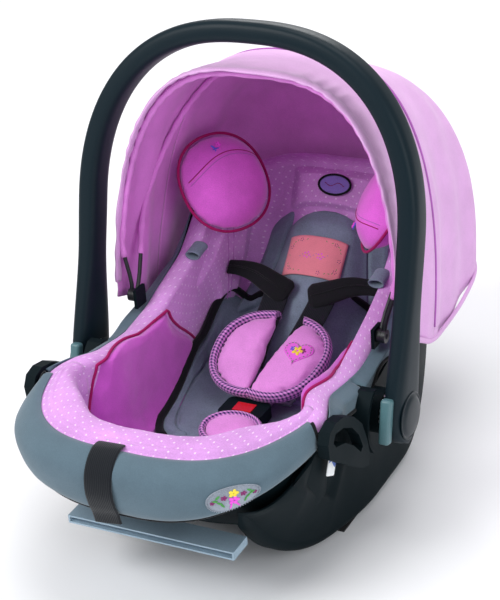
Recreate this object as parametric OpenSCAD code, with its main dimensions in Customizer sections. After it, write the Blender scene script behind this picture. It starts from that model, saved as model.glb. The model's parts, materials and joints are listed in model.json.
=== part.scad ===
// Infant carrier with a bucket shell on rockers, a swivelling carry handle,
// a folding sun canopy, padded covers and a three-point harness.
// Lengths are in millimetres. X runs across the seat, -Y is the foot end,
// +Y is the head end and +Z is up. The origin is the middle of the base.

/* [Stance] */
// Height of the handle's hub axis above the floor
hub_h = 132; // [120:1:150]
// Place of the hub axis along the seat, from the middle of its length
hub_y = -36.2; // [-50:1:-10]

/* [Bucket shell] */
// Half width of the rim beside the hubs
rim_half = 148; // [140:1:152]
// Extra half width of the rim at the foot end
foot_flare = 26; // [16:1:28]
// Reach of the shell rim from the hub axis to the foot end
foot_reach = 268; // [240:1:300]
// Reach of the shell rim from the hub axis to the head end
head_reach = 335; // [310:1:350]
// Depth of the seat pan below the hub axis
pan_depth = 92; // [80:1:100]
// Wall thickness of the plastic shell
shell_wall = 3.5; // [2.5:0.5:5]
// Thickness of the energy-absorbing foam
foam_t = 10; // [6:1:12]
// Thickness of the padded seat cover
cover_t = 9; // [6:1:11]
// Thickness of the grey seat and back pads
pad_t = 9; // [6:1:12]

/* [Rockers] */
// Half width over the rocker sides beside the hubs
rocker_half = 165; // [162:1:168]
// Wall thickness of the rocker sides
rocker_wall = 4; // [3:0.5:5]
// Width of the tread that stands on the floor
tread_w = 30; // [20:1:40]
// Thickness of the rubber rest pads
rest_pad_t = 2; // [1:0.5:3]

/* [Carry handle] */
// Length of the handle from the hub axis to the middle of its crown
handle_h = 408; // [380:1:430]
// Half spacing of the legs, from middle to middle
leg_x = 202; // [200:1:208]
// Thickness of the grip across
grip_t = 26; // [22:1:28]
// Width of the grip fore and aft
grip_w = 38; // [30:1:44]
// Lean of the upright handle towards the head end, in degrees
handle_lean = 14; // [8:1:16]
// Radius of the hub discs
hub_r = 33; // [30:1:36]
// Radius of the pivot pin
pin_r = 8; // [6:0.5:9]
// Running clearance of a pin in its bore
pin_gap = 0.05; // [0.02:0.01:0.08]

/* [Canopy] */
// Distance of the canopy pivots behind the hub axis
bow_y = 50; // [44:1:56]
// Height of the canopy pivots above the hub axis
bow_z = 66; // [62:1:70]
// Height of the front bow above its pivots
bow_h = 284; // [268:1:286]
// Wire radius of the bows
wire_r = 2.5; // [2:0.5:3]
// Thickness of the canopy cloth
cloth_t = 2; // [1.5:0.5:3]

/* [Harness] */
// Width of the harness webbing
web_w = 36; // [30:1:40]
// Thickness of the harness webbing
web_t = 1.6; // [1.2:0.1:2]
// Half spacing of the shoulder straps
strap_x = 36; // [30:1:42]
// Travel of the buckle button
button_travel = 4; // [3:0.5:5]

/* [Hidden] */

// Colours
black_plastic = "#16222a";
grey_cloth = "#7e8c9a";
pink_cloth = "#dcb0e0";
deep_pink = "#b35fb0";
black_web = "#15171c";
steel = "#a9adb3";

// Gaps between layers and neighbours
gap = 1.4;
touch = 0.3;
// Cloth and padding stand this far above the shell's rim
rim_roll = 10;
// Width of the shell's rim flange at its ends
flange_end = 6;

// Steps around the bucket and down its wall
around = 60;
down = 9;

// Levels of the layers, measured inwards from the outside of the shell
foam_in = shell_wall + gap;
foam_out = foam_in + foam_t;
cover_in = foam_out + gap;
cover_out = cover_in + cover_t;
pad_in = cover_out + gap;
pad_out = pad_in + pad_t;

// Flat floor of the seat pan
pan_y = -27;
pan_half_l = 122;
pan_half_w = 112;

function clamp01(t) = min(1, max(0, t));
function smooth(t) = let (c = clamp01(t)) c * c * (3 - 2 * c);
function mix(a, b, t) = a + (b - a) * t;
function spow(v, p) = sign(v) * pow(abs(v), p);

// Half width of the rim at a place along the seat
function rim_w(y) = rim_half + foot_flare * smooth((-y - 60) / 80) + 6 * smooth((y - 120) / 120);

// Height of the cover's top edge at a place along the seat: a saddle that is
// lowest beside the hubs, rises towards the head and stands up as a wing
// beside it
wing_rise = 30;
wing_y = 228;
function wing(y) = wing_rise * pow(max(0, 1 - pow((y - wing_y) / 90, 2)), 2);
function cover_top(y) =
    y < 7
        ? let (t = (7 - y) / 275) 47 + 15 * min(1, (sqrt(t * t + 0.01) - 0.1) / 0.3)
        : let (t = (y - 7) / 320) 47 + 103 * (sqrt(t * t + 0.01) - 0.1) / 0.905 + wing(y);
function rim_z(y) = cover_top(y) - rim_roll;

// Plan of the rim: a blunt superellipse, longer towards the head.
// Angle 0 is the foot end, 90 is +X and 180 is the head end.
function rim_power(a) = cos(a) >= 0 ? 3 : 4;
function rim_reach(a) = cos(a) >= 0 ? foot_reach : head_reach;
function rim_xy(a, e) =
    let (
        q = 2 / rim_power(a),
        y = -(rim_reach(a) - e) * spow(cos(a), q),
        x = (rim_w(y) - e) * spow(sin(a), q)
    ) [x, y];
function floor_xy(a, e) =
    let (q = 2 / 2.5)
    [(pan_half_w - e) * spow(sin(a), q), pan_y - (pan_half_l - e) * spow(cos(a), q)];

// Fullness of the wall: straight at the ends, boxy at the sides
function wall_power(a) = mix(1.15, 3.2, pow(abs(sin(a)), cos(a) > 0 ? 3.5 : 1.5));

// A point on the bucket, at angle a, depth s from rim (0) to floor (1),
// and level e inwards from the outside of the shell
function bowl(a, s, e) =
    let (
        p = wall_power(a),
        r = rim_xy(a, e),
        f = floor_xy(a, e),
        g = pow(cos(90 * s), 2 / p),
        h = pow(sin(90 * s), 2 / p),
        z0 = rim_z(rim_xy(a, 0)[1]),
        z1 = -pan_depth + e
    ) [mix(f[0], r[0], g), mix(f[1], r[1], g), mix(z0, z1, h)];
function rim_point(a, e, dz) =
    let (r = rim_xy(a, e)) [r[0], r[1], rim_z(rim_xy(a, 0)[1]) + dz];

// Everything is placed from the middle of the hub axis
module at_hub() {
    translate([0, hub_y, hub_h]) children();
}

// Builds one side's copy of a piece that is drawn on +X
module on_side(side) {
    mirror([side < 0 ? 1 : 0, 0, 0]) children();
}

// Surface of revolution style solid: rings is a list of closed rings with the
// same number of points, and the first and last rings are closed by a fan
function ring_faces(m, k) = [
    for (j = [0 : k - 2], i = [0 : m - 1])
        [j * m + i, j * m + (i + 1) % m, (j + 1) * m + (i + 1) % m, (j + 1) * m + i]
];
module loft(rings, flip = false) {
    m = len(rings[0]);
    k = len(rings);
    pts = [for (r = rings) for (p = r) p];
    sides = ring_faces(m, k);
    ends = [
        [for (i = [m - 1 : -1 : 0]) i],
        [for (i = [0 : m - 1]) (k - 1) * m + i]
    ];
    faces = concat([for (f = sides) each [[f[0], f[1], f[2]], [f[0], f[2], f[3]]]], ends);
    polyhedron(pts, flip ? [for (f = faces) [for (i = [len(f) - 1 : -1 : 0]) f[i]]] : faces);
}

// A thin sheet: two grids of points, joined along their edges
module sheet(low, high, flip = false) {
    k = len(low);
    m = len(low[0]);
    n = k * m;
    pts = concat([for (r = low) for (p = r) p], [for (r = high) for (p = r) p]);
    quads = concat(
        [for (j = [0 : k - 2], i = [0 : m - 2])
            [j * m + i, j * m + i + 1, (j + 1) * m + i + 1, (j + 1) * m + i]],
        [for (j = [0 : k - 2], i = [0 : m - 2])
            [n + j * m + i, n + (j + 1) * m + i, n + (j + 1) * m + i + 1, n + j * m + i + 1]],
        [for (i = [0 : m - 2]) [i, n + i, n + i + 1, i + 1]],
        [for (i = [0 : m - 2])
            [(k - 1) * m + i, (k - 1) * m + i + 1, n + (k - 1) * m + i + 1, n + (k - 1) * m + i]],
        [for (j = [0 : k - 2]) [j * m, (j + 1) * m, n + (j + 1) * m, n + j * m]],
        [for (j = [0 : k - 2])
            [j * m + m - 1, n + j * m + m - 1, n + (j + 1) * m + m - 1, (j + 1) * m + m - 1]]
    );
    faces = [for (f = quads) each [[f[0], f[1], f[2]], [f[0], f[2], f[3]]]];
    polyhedron(pts, flip ? [for (f = faces) [f[2], f[1], f[0]]] : faces);
}

// A patch of padding on the bucket's wall, between two levels
function patch_grid(a0, a1, s0, s1, e, na, ns) = [
    for (j = [0 : ns]) [for (i = [0 : na]) bowl(mix(a0, a1, i / na), mix(s0, s1, j / ns), e)]
];

// ---------------------------------------------------------------- shell

// Width of the rim flange around the seat: it reaches out to the rockers
function flange_w(a) =
    let (side = max(4, rocker_half + 1 - rim_w(rim_xy(a, 0)[1])))
    mix(flange_end, side - 1, pow(abs(sin(a)), 6));

module bucket_wall() {
    angles = [for (i = [0 : around - 1]) 360 * i / around];
    outer = [for (j = [down : -1 : 0]) [for (a = angles) bowl(a, j / down, 0)]];
    lip = [
        [for (a = angles) rim_point(a, 0, -9)],
        [for (a = angles) rim_point(a, -flange_w(a), -9)],
        [for (a = angles) rim_point(a, -flange_w(a), -5)],
        [for (a = angles) rim_point(a, 0, 0)]
    ];
    inner = [for (j = [0 : down]) [for (a = angles) bowl(a, j / down, shell_wall)]];
    // The outside wall stops just under the flange
    walls = [for (j = [0 : down - 1]) outer[j]];
    loft(concat(walls, lip, inner), true);
}
module seat_shell() {
    color(black_plastic) at_hub() bucket_wall();
}

// ---------------------------------------------------------------- rockers

// Lowest edge of the rocker at a place along the seat: flat under the hubs,
// curving up to the toe and to the head end
rocker_flat = [-75, 100];
toe_y = -228;
heel_y = 250;
function rocker_bottom(y) =
    let (
        d0 = max(0, rocker_flat[0] - y) / (rocker_flat[0] - toe_y),
        d1 = max(0, y - rocker_flat[1]) / (heel_y - rocker_flat[1])
    ) -hub_h + rest_pad_t + 118 * pow(d0, 2.3) + 112 * pow(d1, 1.9);
// Width of the rim's plan at a place along the seat
function plan_w(y) =
    let (n = y < 0 ? 3 : 4, l = y < 0 ? foot_reach : head_reach)
    rim_w(y) * pow(1 - pow(abs(y) / l, n), 1 / n);
function rocker_top_x(y) =
    min(rocker_half + 6, plan_w(y) + mix(9, rocker_half - rim_half, smooth((230 - abs(y)) / 150)));
function rocker_low_x(y) =
    min(rocker_top_x(y), mix(118, rocker_half, smooth((y - toe_y) / 240)))
    - 14 * smooth((y - 120) / 160);
// The tread narrows towards the toe and the heel, where the bucket comes close
function tread(y) = mix(3, tread_w - 14, smooth(min(y - toe_y, heel_y - y) / 110));
function rocker_top(y) = mix(-2, cover_top(y) - 24, smooth((y - toe_y) / 90));
function rocker_section(y) =
    let (
        w = rocker_wall,
        xt = rocker_top_x(y),
        xb = rocker_low_x(y),
        zt = rocker_top(y),
        zb = rocker_bottom(y),
        r = min(14, (zt - zb) / 3),
        xm = mix(xt, xb, 0.1)
    ) [
        [xt, y, zt],
        [xm, y, mix(zt, zb, 0.5)],
        [xb, y, zb + r],
        [xb - r * 0.3, y, zb + r * 0.3],
        [xb - r, y, zb],
        [xb - r - tread(y), y, zb],
        [xb - r - tread(y), y, zb + w],
        [xb - r, y, zb + w],
        [xb - r * 0.3 - w * 0.8, y, zb + r * 0.3 + w * 0.6],
        [xb - w, y, zb + r],
        [xm - w, y, mix(zt, zb, 0.5)],
        [xt - w, y, zt]
    ];
module rocker(side) {
    steps = 34;
    sections = [for (i = [0 : steps]) rocker_section(mix(toe_y, heel_y, i / steps))];
    color(black_plastic) at_hub() on_side(side) loft(sections, true);
}

// Four rubber pads under the flat of the treads
module rest_pads() {
    pad_l = 40;
    pad_w = tread_w - 12;
    color("#2a2a2c") for (side = [-1, 1], end = [0, 1])
        translate([
            side * (rocker_half - tread_w / 2 - 6) - pad_w / 2,
            hub_y + (end == 0 ? rocker_flat[0] + 14 : rocker_flat[1] - 14 - pad_l),
            0
        ])
            cube([pad_w, pad_l, rest_pad_t - 0.05]);
}

// ---------------------------------------------------------------- soft layers

module foam_liner() {
    angles = [for (i = [0 : around - 1]) 360 * i / around];
    outer = [for (j = [down : -1 : 0]) [for (a = angles) bowl(a, j / down, foam_in)]];
    inner = [for (j = [0 : down]) [for (a = angles) bowl(a, j / down, foam_out)]];
    color("#e8e8e4") at_hub() loft(concat(outer, inner), true);
}

// The cover lines the bucket and rolls over the rim
module seat_cover() {
    angles = [for (i = [0 : around - 1]) 360 * i / around];
    outer = [for (j = [down : -1 : 1]) [for (a = angles) bowl(a, j / down, cover_in)]];
    roll = [
        [for (a = angles) rim_point(a, cover_in, gap)],
        [for (a = angles) rim_point(a, -1, gap)],
        [for (a = angles) rim_point(a, -3, rim_roll * 0.6)],
        [for (a = angles) rim_point(a, cover_in * 0.4, rim_roll)],
        [for (a = angles) rim_point(a, cover_out - 3, rim_roll * 0.7)]
    ];
    inner = [for (j = [1 : down]) [for (a = angles) bowl(a, j / down, cover_out)]];
    color(pink_cloth) at_hub() loft(concat(outer, roll, inner), true);
}

// Padded cover around the outside of the foot end
foot_cover_span = 66;
function bumper_drop(a) = mix(52, 16, smooth(abs(a) / foot_cover_span));
function bumper_out(a) = mix(24, 8, pow(abs(a) / foot_cover_span, 4));
function bumper_section(a) =
    let (d = bumper_drop(a), o = bumper_out(a), i = flange_w(a) + gap) [
        rim_point(a, -4, rim_roll),
        rim_point(a, -o * 0.8, rim_roll - 8),
        rim_point(a, -o, -d * 0.35),
        rim_point(a, -o * 0.85, -d * 0.85),
        rim_point(a, -i - 1, -d),
        rim_point(a, -i - 0.3, -d * 0.5),
        rim_point(a, -i, -4),
        rim_point(a, -3.6, 1)
    ];
module foot_cover() {
    steps = 36;
    sections = [
        for (i = [0 : steps])
            bumper_section(mix(-foot_cover_span, foot_cover_span, i / steps))
    ];
    color(grey_cloth) at_hub() loft(sections, true);
}

// Dark pink panel on the inside of each hip
module hip_panel(side) {
    lift = 4;
    lo = patch_grid(46, 102, 0.14, 0.80, cover_out + gap, 14, 8);
    hi = patch_grid(46, 102, 0.14, 0.80, cover_out + gap + lift, 14, 8);
    color(deep_pink) at_hub() on_side(side) sheet(lo, hi);
}

// Angle on the bucket at which a depth reaches a given half width
function angle_at(s, e, w, lo = 120, hi = 180, n = 14) =
    n == 0
        ? (lo + hi) / 2
        : let (mid = (lo + hi) / 2)
          (bowl(mid, s, e)[0] > w ? angle_at(s, e, w, mid, hi, n - 1) : angle_at(s, e, w, lo, mid, n - 1));

// Half width of the back pad from its top (s = 0.24) to the seat (s = 0.9)
function back_half(s) = mix(40, 92, pow(clamp01((s - 0.24) / 0.5), 0.8));
function back_row(s, e) =
    let (a = angle_at(s, cover_out, back_half(s)))
    [for (i = [0 : 12]) bowl(mix(a, 360 - a, i / 12), s, e)];
module back_pad() {
    rows = [for (j = [0 : 12]) mix(0.24, 0.88, j / 12)];
    color(grey_cloth) at_hub()
        sheet([for (s = rows) back_row(s, pad_in)], [for (s = rows) back_row(s, pad_out)]);
}

// Flat pad on the seat pan
module seat_pad() {
    z = -pan_depth + pad_in;
    half_w = pan_half_w - pad_in - 4;
    color(grey_cloth) at_hub() translate([0, 0, z])
        linear_extrude(pad_t) offset(r = 14, $fn = 32)
            polygon([
                [-half_w + 26, pan_y - pan_half_l + pad_out + 22],
                [half_w - 26, pan_y - pan_half_l + pad_out + 22],
                [half_w - 16, pan_y + pan_half_l - pad_out - 34],
                [-half_w + 16, pan_y + pan_half_l - pad_out - 34]
            ]);
}

// Pad behind the head, from the top of the back up to the rim
module headrest_pad() {
    function row(s, e) =
        let (a = angle_at(s, cover_out, 62)) [for (i = [0 : 10]) bowl(mix(a, 360 - a, i / 10), s, e)];
    rows = [for (j = [0 : 5]) mix(0.07, 0.215, j / 5)];
    color(pink_cloth) at_hub()
        sheet([for (s = rows) row(s, pad_in)], [for (s = rows) row(s, pad_out + 3)]);
}

// Oval badge on the headrest
module headrest_badge() {
    p = bowl(180, 0.14, pad_out + 3 + 3);
    color("#8569b3") at_hub() translate(p) rotate([44, 0, 0])
        scale([1, 0.55, 1]) cylinder(h = 2, r = 20, $fn = 48);
}

// Salmon patch sewn on the back pad
module back_patch() {
    p = bowl(180, 0.43, pad_out + 1.4);
    color("#ee9aa6") at_hub() translate(p) rotate([44, 0, 0])
        translate([-41, -25, 0]) cube([82, 50, 1.5]);
}

// Plump cushion beside the head: it leans on the inside of the wing and
// stands above it
bolster_r = 60;
bolster_t = 46;
module head_bolster(side) {
    color(deep_pink) at_hub() on_side(side) translate([rim_half - 41, 206, 157])
        rotate([0, 0, 24]) rotate([0, 33, 0])
            scale([bolster_t / bolster_r / 2, 1, 1.05]) sphere(r = bolster_r, $fn = 28);
}

// ---------------------------------------------------------------- harness

// Place on the middle of the back, at a height above the pads
function back_mid(s, lift) = bowl(180, s, pad_out + lift);

module shoulder_strap(side) {
    s0 = 0.535;
    s1 = 0.84;
    steps = 8;
    function row(s, lift) =
        let (p = back_mid(s, lift)) [
            [strap_x - web_w / 2, p[1], p[2]],
            [strap_x + web_w / 2, p[1], p[2]]
        ];
    rows = [for (j = [0 : steps]) mix(s0, s1, j / steps)];
    color(black_web) at_hub() on_side(side)
        sheet([for (s = rows) row(s, 3)], [for (s = rows) row(s, 3 + web_t)], true);
}

// Black flap that covers the slot of each strap
module strap_flap(side) {
    p = back_mid(0.50, 9);
    color(black_web) at_hub() on_side(side) translate([0, p[1], p[2]]) rotate([44, 0, 0])
        linear_extrude(4)
            polygon([[13, -18], [13, 8], [96, 20], [100, 2], [56, -26]]);
}

// Half-moon pad on each strap, lying over the lap
module chest_pad(side) {
    p = back_mid(0.745, 22);
    color("#e19dde") at_hub() on_side(side) translate([8, p[1], p[2]]) rotate([22, 0, 0])
        linear_extrude(12) intersection() {
            circle(r = 66, $fn = 64);
            translate([0, -70]) square([70, 140]);
        }
}

// Buckle between the legs
buckle_w = 56;
buckle_l = 40;
buckle_t = 16;
buckle_at = [0, 7, -pan_depth + pad_out + 4];
module buckle_body() {
    color("#23262b") at_hub() translate(buckle_at) difference() {
        translate([0, 0, 0]) linear_extrude(buckle_t) offset(r = 8, $fn = 32)
            square([buckle_w - 16, buckle_l - 16], center = true);
        // Pocket for the button
        translate([-12 - touch, -9 - touch, buckle_t - 9])
            cube([24 + 2 * touch, 18 + 2 * touch, 12]);
        // Two slots for the tongues
        for (side = [-1, 1])
            translate([side * 14 - 6.6, 9, 4.4]) cube([13.2, 30, 3.2]);
    }
}
module buckle_button() {
    color("#c02a2a") at_hub() translate(buckle_at)
        translate([-12, -9, buckle_t - 9 + button_travel + 0.5]) cube([24, 18, 5.5]);
}
module buckle_tongue(side) {
    color(steel) at_hub() on_side(side) translate(buckle_at) {
        translate([14 - 6, 10, 5]) cube([12, 26, 2]);
        translate([4, 36, 5]) difference() {
            cube([38, 16, 2]);
            translate([4, 6, -1]) cube([30, 6, 4]);
        }
    }
}
// Round pad around the crotch strap, in front of the buckle
module crotch_pad() {
    color("#cd8fd2") at_hub() translate([6, -44, -pan_depth + pad_out + 3])
        scale([1, 0.85, 1]) cylinder(h = 13, r = 34, $fn = 64);
}
module crotch_strap() {
    color(black_web) at_hub() translate([-web_w / 2, -80, -pan_depth + pad_out + 0.6])
        cube([web_w, 86, web_t]);
}

// Webbing that pulls the harness tight: it leaves the slit in the foot end
// and hangs over the front of the padded cover
adjuster_w = 32;
module adjuster_strap() {
    y1 = -foot_reach - bumper_out(0) - 1;
    y0 = -foot_reach + 12;
    zt = rim_z(-foot_reach) + rim_roll + 1.4;
    path = [
        [y0, zt - 0.4], [y0 - 12, zt], [-foot_reach - 12, zt - 1], [y1 + 3, zt - 10],
        [y1 - 1, zt - 26], [y1 - 1, zt - 44], [y1 + 3, zt - 60], [y1 + 12, zt - 70]
    ];
    lo = [for (p = path) [[-adjuster_w / 2, p[0], p[1]], [adjuster_w / 2, p[0], p[1]]]];
    hi = [for (i = [0 : len(path) - 1])
        let (
            p = path[i],
            q0 = path[max(0, i - 1)],
            q1 = path[min(len(path) - 1, i + 1)],
            d = [q1[0] - q0[0], q1[1] - q0[1]],
            n = [d[1], -d[0]] / norm(d) * 2
        ) [[-adjuster_w / 2, p[0] + n[0], p[1] + n[1]], [adjuster_w / 2, p[0] + n[0], p[1] + n[1]]]];
    color(black_web) at_hub() sheet(lo, hi, true);
}
// Metal frame of the slit, with the clamp lever behind it
frame_y = -foot_reach + 16;
frame_z = rim_z(-foot_reach) + rim_roll + 0.6;
module adjuster_frame() {
    color(steel) at_hub() translate([-24, frame_y, frame_z]) difference() {
        cube([48, 20, 4]);
        translate([6, 5, -1]) cube([36, 9, 6]);
    }
}
module adjuster_lever() {
    color(steel) at_hub() translate([-17, frame_y + 6, frame_z + 0.4]) union() {
        cube([34, 7, 2.4]);
        translate([0, 3.5, 1.2]) rotate([0, 90, 0]) cylinder(h = 34, r = 1.6, $fn = 24);
    }
}

// Steel plate behind the back that joins the shoulder straps
module rear_yoke() {
    p = bowl(180, 0.5, 0) + [0, 0.69, -0.72] * 14;
    color(steel) at_hub() translate(p) rotate([44, 0, 0]) difference() {
        translate([-46, -14, -2]) cube([92, 28, 2]);
        for (side = [-1, 1])
            translate([side * 26 - 15, 2, -3]) cube([30, 5, 4]);
        translate([-18, -10, -3]) cube([36, 5, 4]);
    }
}

// ---------------------------------------------------------------- sides

// Humped guide for the adult lap belt
guide_x = 175;
guide_t = 13;
module belt_guide(side) {
    color(black_plastic) at_hub() on_side(side) translate([guide_x, 0, 0])
        rotate([90, 0, 90]) linear_extrude(guide_t) difference() {
            polygon([
                [-158, 30], [-160, 48], [-153, 60], [-138, 64], [-118, 60], [-93, 46],
                [-73, 26], [-62, 0], [-56, -24], [-62, -34], [-78, -28], [-110, -6], [-136, 14]
            ]);
            polygon([
                [-147, 44], [-141, 52], [-121, 48], [-99, 36], [-83, 18], [-74, -2],
                [-80, -6], [-97, 12], [-118, 28], [-141, 36]
            ]);
        }
}

// Disc on the shell's side that carries the handle
mount_x = rocker_half + 0.4;
mount_t = 20;
mount_r = 26;
ring_t = 2.6;
module hub_mount(side) {
    color(black_plastic) at_hub() on_side(side) translate([mount_x, 0, 0]) {
        rotate([0, 90, 0]) difference() {
            cylinder(h = mount_t, r = mount_r, $fn = 72);
            translate([0, 0, -1]) cylinder(h = mount_t + 2, r = pin_r + 0.01, $fn = 72);
        }
        // Guard rib in front of the hub
        rotate([90, 0, 90]) linear_extrude(mount_t - 2) difference() {
            circle(r = 50, $fn = 96);
            circle(r = 45, $fn = 96);
            translate([-8, -60]) square([70, 120]);
            translate([-60, 40]) square([70, 60]);
            translate([-60, -80]) square([70, 44]);
        }
        // Web between disc and rib
        translate([0, -47, -8]) cube([6, 24, 16]);
    }
}
// Toothed ring that holds the handle in its positions
module detent_ring(side) {
    color(steel) at_hub() on_side(side) translate([mount_x + mount_t + touch, 0, 0])
        rotate([90, 0, 90]) linear_extrude(ring_t) difference() {
            union() {
                circle(r = 22, $fn = 72);
                for (i = [0 : 23])
                    rotate(15 * i) translate([20, -1.6]) square([4.5, 3.2]);
            }
            circle(r = pin_r + 0.01, $fn = 72);
        }
}
hub_t = 24;
hub_x = leg_x - hub_t / 2;
head_t = 4;
module pivot_pin(side) {
    start = mount_x + 0.6;
    color(steel) at_hub() on_side(side) translate([start, 0, 0]) rotate([0, 90, 0]) {
        cylinder(h = hub_x + hub_t - head_t - start, r = pin_r, $fn = 72);
        translate([0, 0, hub_x + hub_t - head_t - start]) cylinder(h = head_t - 0.4, r = 12, $fn = 72);
    }
}

// ---------------------------------------------------------------- handle

// Side view of the hub: a disc with a root for the leg and a pocket in front
button_l = 54;
button_w = 13;
module hub_outline() {
    circle(r = hub_r, $fn = 96);
    polygon([[-hub_r, 0], [hub_r, 0], [27, 52], [-27, 52]]);
    translate([-hub_r - 5, -button_l / 2 - 3]) square([20, button_l + 6]);
}
module handle_hub(side) {
    color(black_plastic) at_hub() on_side(side) translate([hub_x, 0, 0]) difference() {
        rotate([-handle_lean, 0, 0]) rotate([90, 0, 90]) linear_extrude(hub_t) hub_outline();
        rotate([0, 90, 0]) translate([0, 0, -1]) cylinder(h = hub_t + 2, r = pin_r + pin_gap, $fn = 72);
        translate([hub_t - head_t - 0.4, 0, 0]) rotate([0, 90, 0]) cylinder(h = 10, r = 12.6, $fn = 72);
        rotate([-handle_lean, 0, 0])
            translate([3 - touch, -hub_r - 6, -button_l / 2 - touch])
                cube([button_w + 2 * touch, 16 + touch, button_l + 2 * touch]);
    }
}
module hub_cap(side) {
    color("#243540") at_hub() on_side(side) translate([hub_x + hub_t + 0.1, 0, 0])
        rotate([0, 90, 0]) rotate_extrude($fn = 96)
            polygon([[0, 0], [28, 0], [28, 2], [25, 3.4], [10, 4.6], [0, 4.8]]);
}
module release_button(side) {
    color("#4d6f76") at_hub() on_side(side) translate([hub_x, 0, 0]) rotate([-handle_lean, 0, 0])
        translate([3, -hub_r - 10, -button_l / 2]) cube([button_w, 13, button_l]);
}

// The arch: straight legs, then a superellipse over the crown
leg_h = 198;
function arch_point(t) =
    t < 0
        ? [-leg_x, leg_h + t]
        : t > 180
            ? [leg_x, leg_h - (t - 180)]
            : [-leg_x * spow(cos(t), 2 / 2.5), leg_h + (handle_h - leg_h) * pow(abs(sin(t)), 2 / 2.17)];
function arch_grip_w(h) = grip_w + 16 * pow(clamp01((leg_h - h) / (leg_h - 52)), 2);
function arch_section(t) =
    let (
        p = arch_point(t),
        q0 = arch_point(t - 0.5),
        q1 = arch_point(t + 0.5),
        d = [q1[0] - q0[0], q1[1] - q0[1]],
        n = [-d[1], d[0]] / norm(d),
        w = arch_grip_w(p[1]) / 2,
        g = (t <= 0 || t >= 180) ? hub_t / 2 : grip_t / 2
    ) [for (k = [0 : 11])
        let (
            a = 30 * k,
            u = g * spow(sin(a), 0.8),
            v = w * spow(cos(a), 0.8)
        ) [p[0] + n[0] * u, -v, p[1] + n[1] * u]];
module handle_arch() {
    low = leg_h - 52.3;
    ts = concat(
        [for (i = [0 : 5]) -low + low * i / 6],
        [0, 2, 6], [for (i = [1 : 21]) 6 + 8 * i], [178, 180],
        [for (i = [1 : 6]) 180 + low * i / 6]
    );
    color(black_plastic) at_hub() rotate([-handle_lean, 0, 0])
        loft([for (t = ts) arch_section(t)]);
}

// ---------------------------------------------------------------- canopy

// Swivel bracket on the rim that holds both bows
bracket_x = 154;
module canopy_bracket(side) {
    color(black_plastic) at_hub() on_side(side) translate([bracket_x, bow_y, bow_z]) {
        difference() {
            translate([-1.6, -11, -13]) cube([4, 22, 24]);
            rotate([0, 90, 0]) translate([0, 0, -3]) cylinder(h = 8, r = 3.01, $fn = 48);
        }
        rotate([0, 90, 0]) translate([0, 0, -1.6]) cylinder(h = 15, r = 3, $fn = 48);
    }
}
// A bow: an eye at each end, and a wire that leans outwards and follows the hood
bow_half = 178;
function bow_point(height, eye_x, reach, t) =
    let (z = height * pow(abs(sin(t)), 2 / 2.4))
    [mix(eye_x + 2.5, bow_half * spow(cos(t), 2 / 3), smooth((z - 6) / reach)), 0, z];
function bow_section(height, eye_x, reach, t) =
    let (
        p = bow_point(height, eye_x, reach, t),
        d = bow_point(height, eye_x, reach, t + 0.05) - bow_point(height, eye_x, reach, t - 0.05),
        n = [d[2], 0, -d[0]] / norm(d)
    ) [for (i = [0 : 15]) p + n * wire_r * cos(22.5 * i) + [0, wire_r * sin(22.5 * i), 0]];
module bow_half_wire(height, eye_x, reach) {
    ts = concat([0.6, 1.5, 3], [for (i = [1 : 12]) 3 + 3 * i], [for (i = [1 : 11]) 39 + 4.5 * i]);
    loft(concat(
        [for (t = ts) bow_section(height, eye_x, reach, t)],
        [[for (i = [0 : 15]) [0, wire_r * sin(22.5 * i), height + wire_r * cos(22.5 * i)]]]
    ), true);
}
module bow(height, eye_x, reach) {
    for (side = [-1, 1]) on_side(side) {
        translate([eye_x, 0, 0]) rotate([0, 90, 0]) difference() {
            cylinder(h = 5, r = 8, $fn = 48);
            translate([0, 0, -1]) cylinder(h = 7, r = 3 + pin_gap, $fn = 48);
        }
        bow_half_wire(height, eye_x, reach);
    }
}
front_tilt = 9;
rear_tilt = 34;
module front_bow() {
    color(steel) at_hub() translate([0, bow_y, bow_z]) rotate([-front_tilt, 0, 0])
        bow(bow_h, bracket_x + 8.2, 60);
}
module rear_bow() {
    color(steel) at_hub() translate([0, bow_y, bow_z]) rotate([-rear_tilt, 0, 0])
        bow(bow_h + 25, bracket_x + 2.8, 130);
}

// Hood of cloth as arches from the front hem to the back. Each row holds the
// foot of the arch (y, z), its crown (y, z) and its half width.
hood = [
    [46, 62, 84, 356, 184],
    [72, 52, 128, 352, 186],
    [104, 34, 172, 345, 189],
    [140, 16, 216, 333, 192],
    [190, 14, 262, 317, 194],
    [245, 20, 306, 297, 192],
    [300, 32, 338, 272, 184],
    [334, 44, 355, 238, 158],
    [352, 56, 364, 194, 114],
    [358, 66, 367, 146, 62],
    [359, 72, 368, 104, 16]
];
hood_split = 3;
function hood_arch(r, inset) = [
    for (i = [0 : 24])
        let (
            t = 180 * i / 24,
            c = spow(cos(t), 2 / 3),
            k = pow(abs(sin(t)), 2 / 2.4),
            w = r[4] - inset,
            zt = r[3] - inset
        ) [-w * c, mix(r[0], r[2], k) - (r[0] > 300 ? inset : 0), mix(r[1], zt, k)]
];
module canopy_front_cloth() {
    rows = [for (j = [0 : hood_split]) hood[j]];
    color(pink_cloth) at_hub()
        sheet([for (r = rows) hood_arch(r, cloth_t)], [for (r = rows) hood_arch(r, 0)]);
}
module canopy_rear_cloth() {
    rows = [for (j = [hood_split : len(hood) - 1]) hood[j]];
    low = [for (r = rows) hood_arch(r, cloth_t)];
    high = [for (r = rows) hood_arch(r, 0)];
    color(pink_cloth) at_hub() translate([0, touch, 0]) sheet(low, high);
}

// ---------------------------------------------------------------- small parts

// Clear pocket for papers, under the foot end between the rockers
module document_pocket() {
    color("#9fc4dd", 0.6) at_hub() translate([-96, -238, -64]) difference() {
        cube([204, 32, 10]);
        translate([2, -1, 2]) cube([200, 31, 6]);
    }
}
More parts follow.
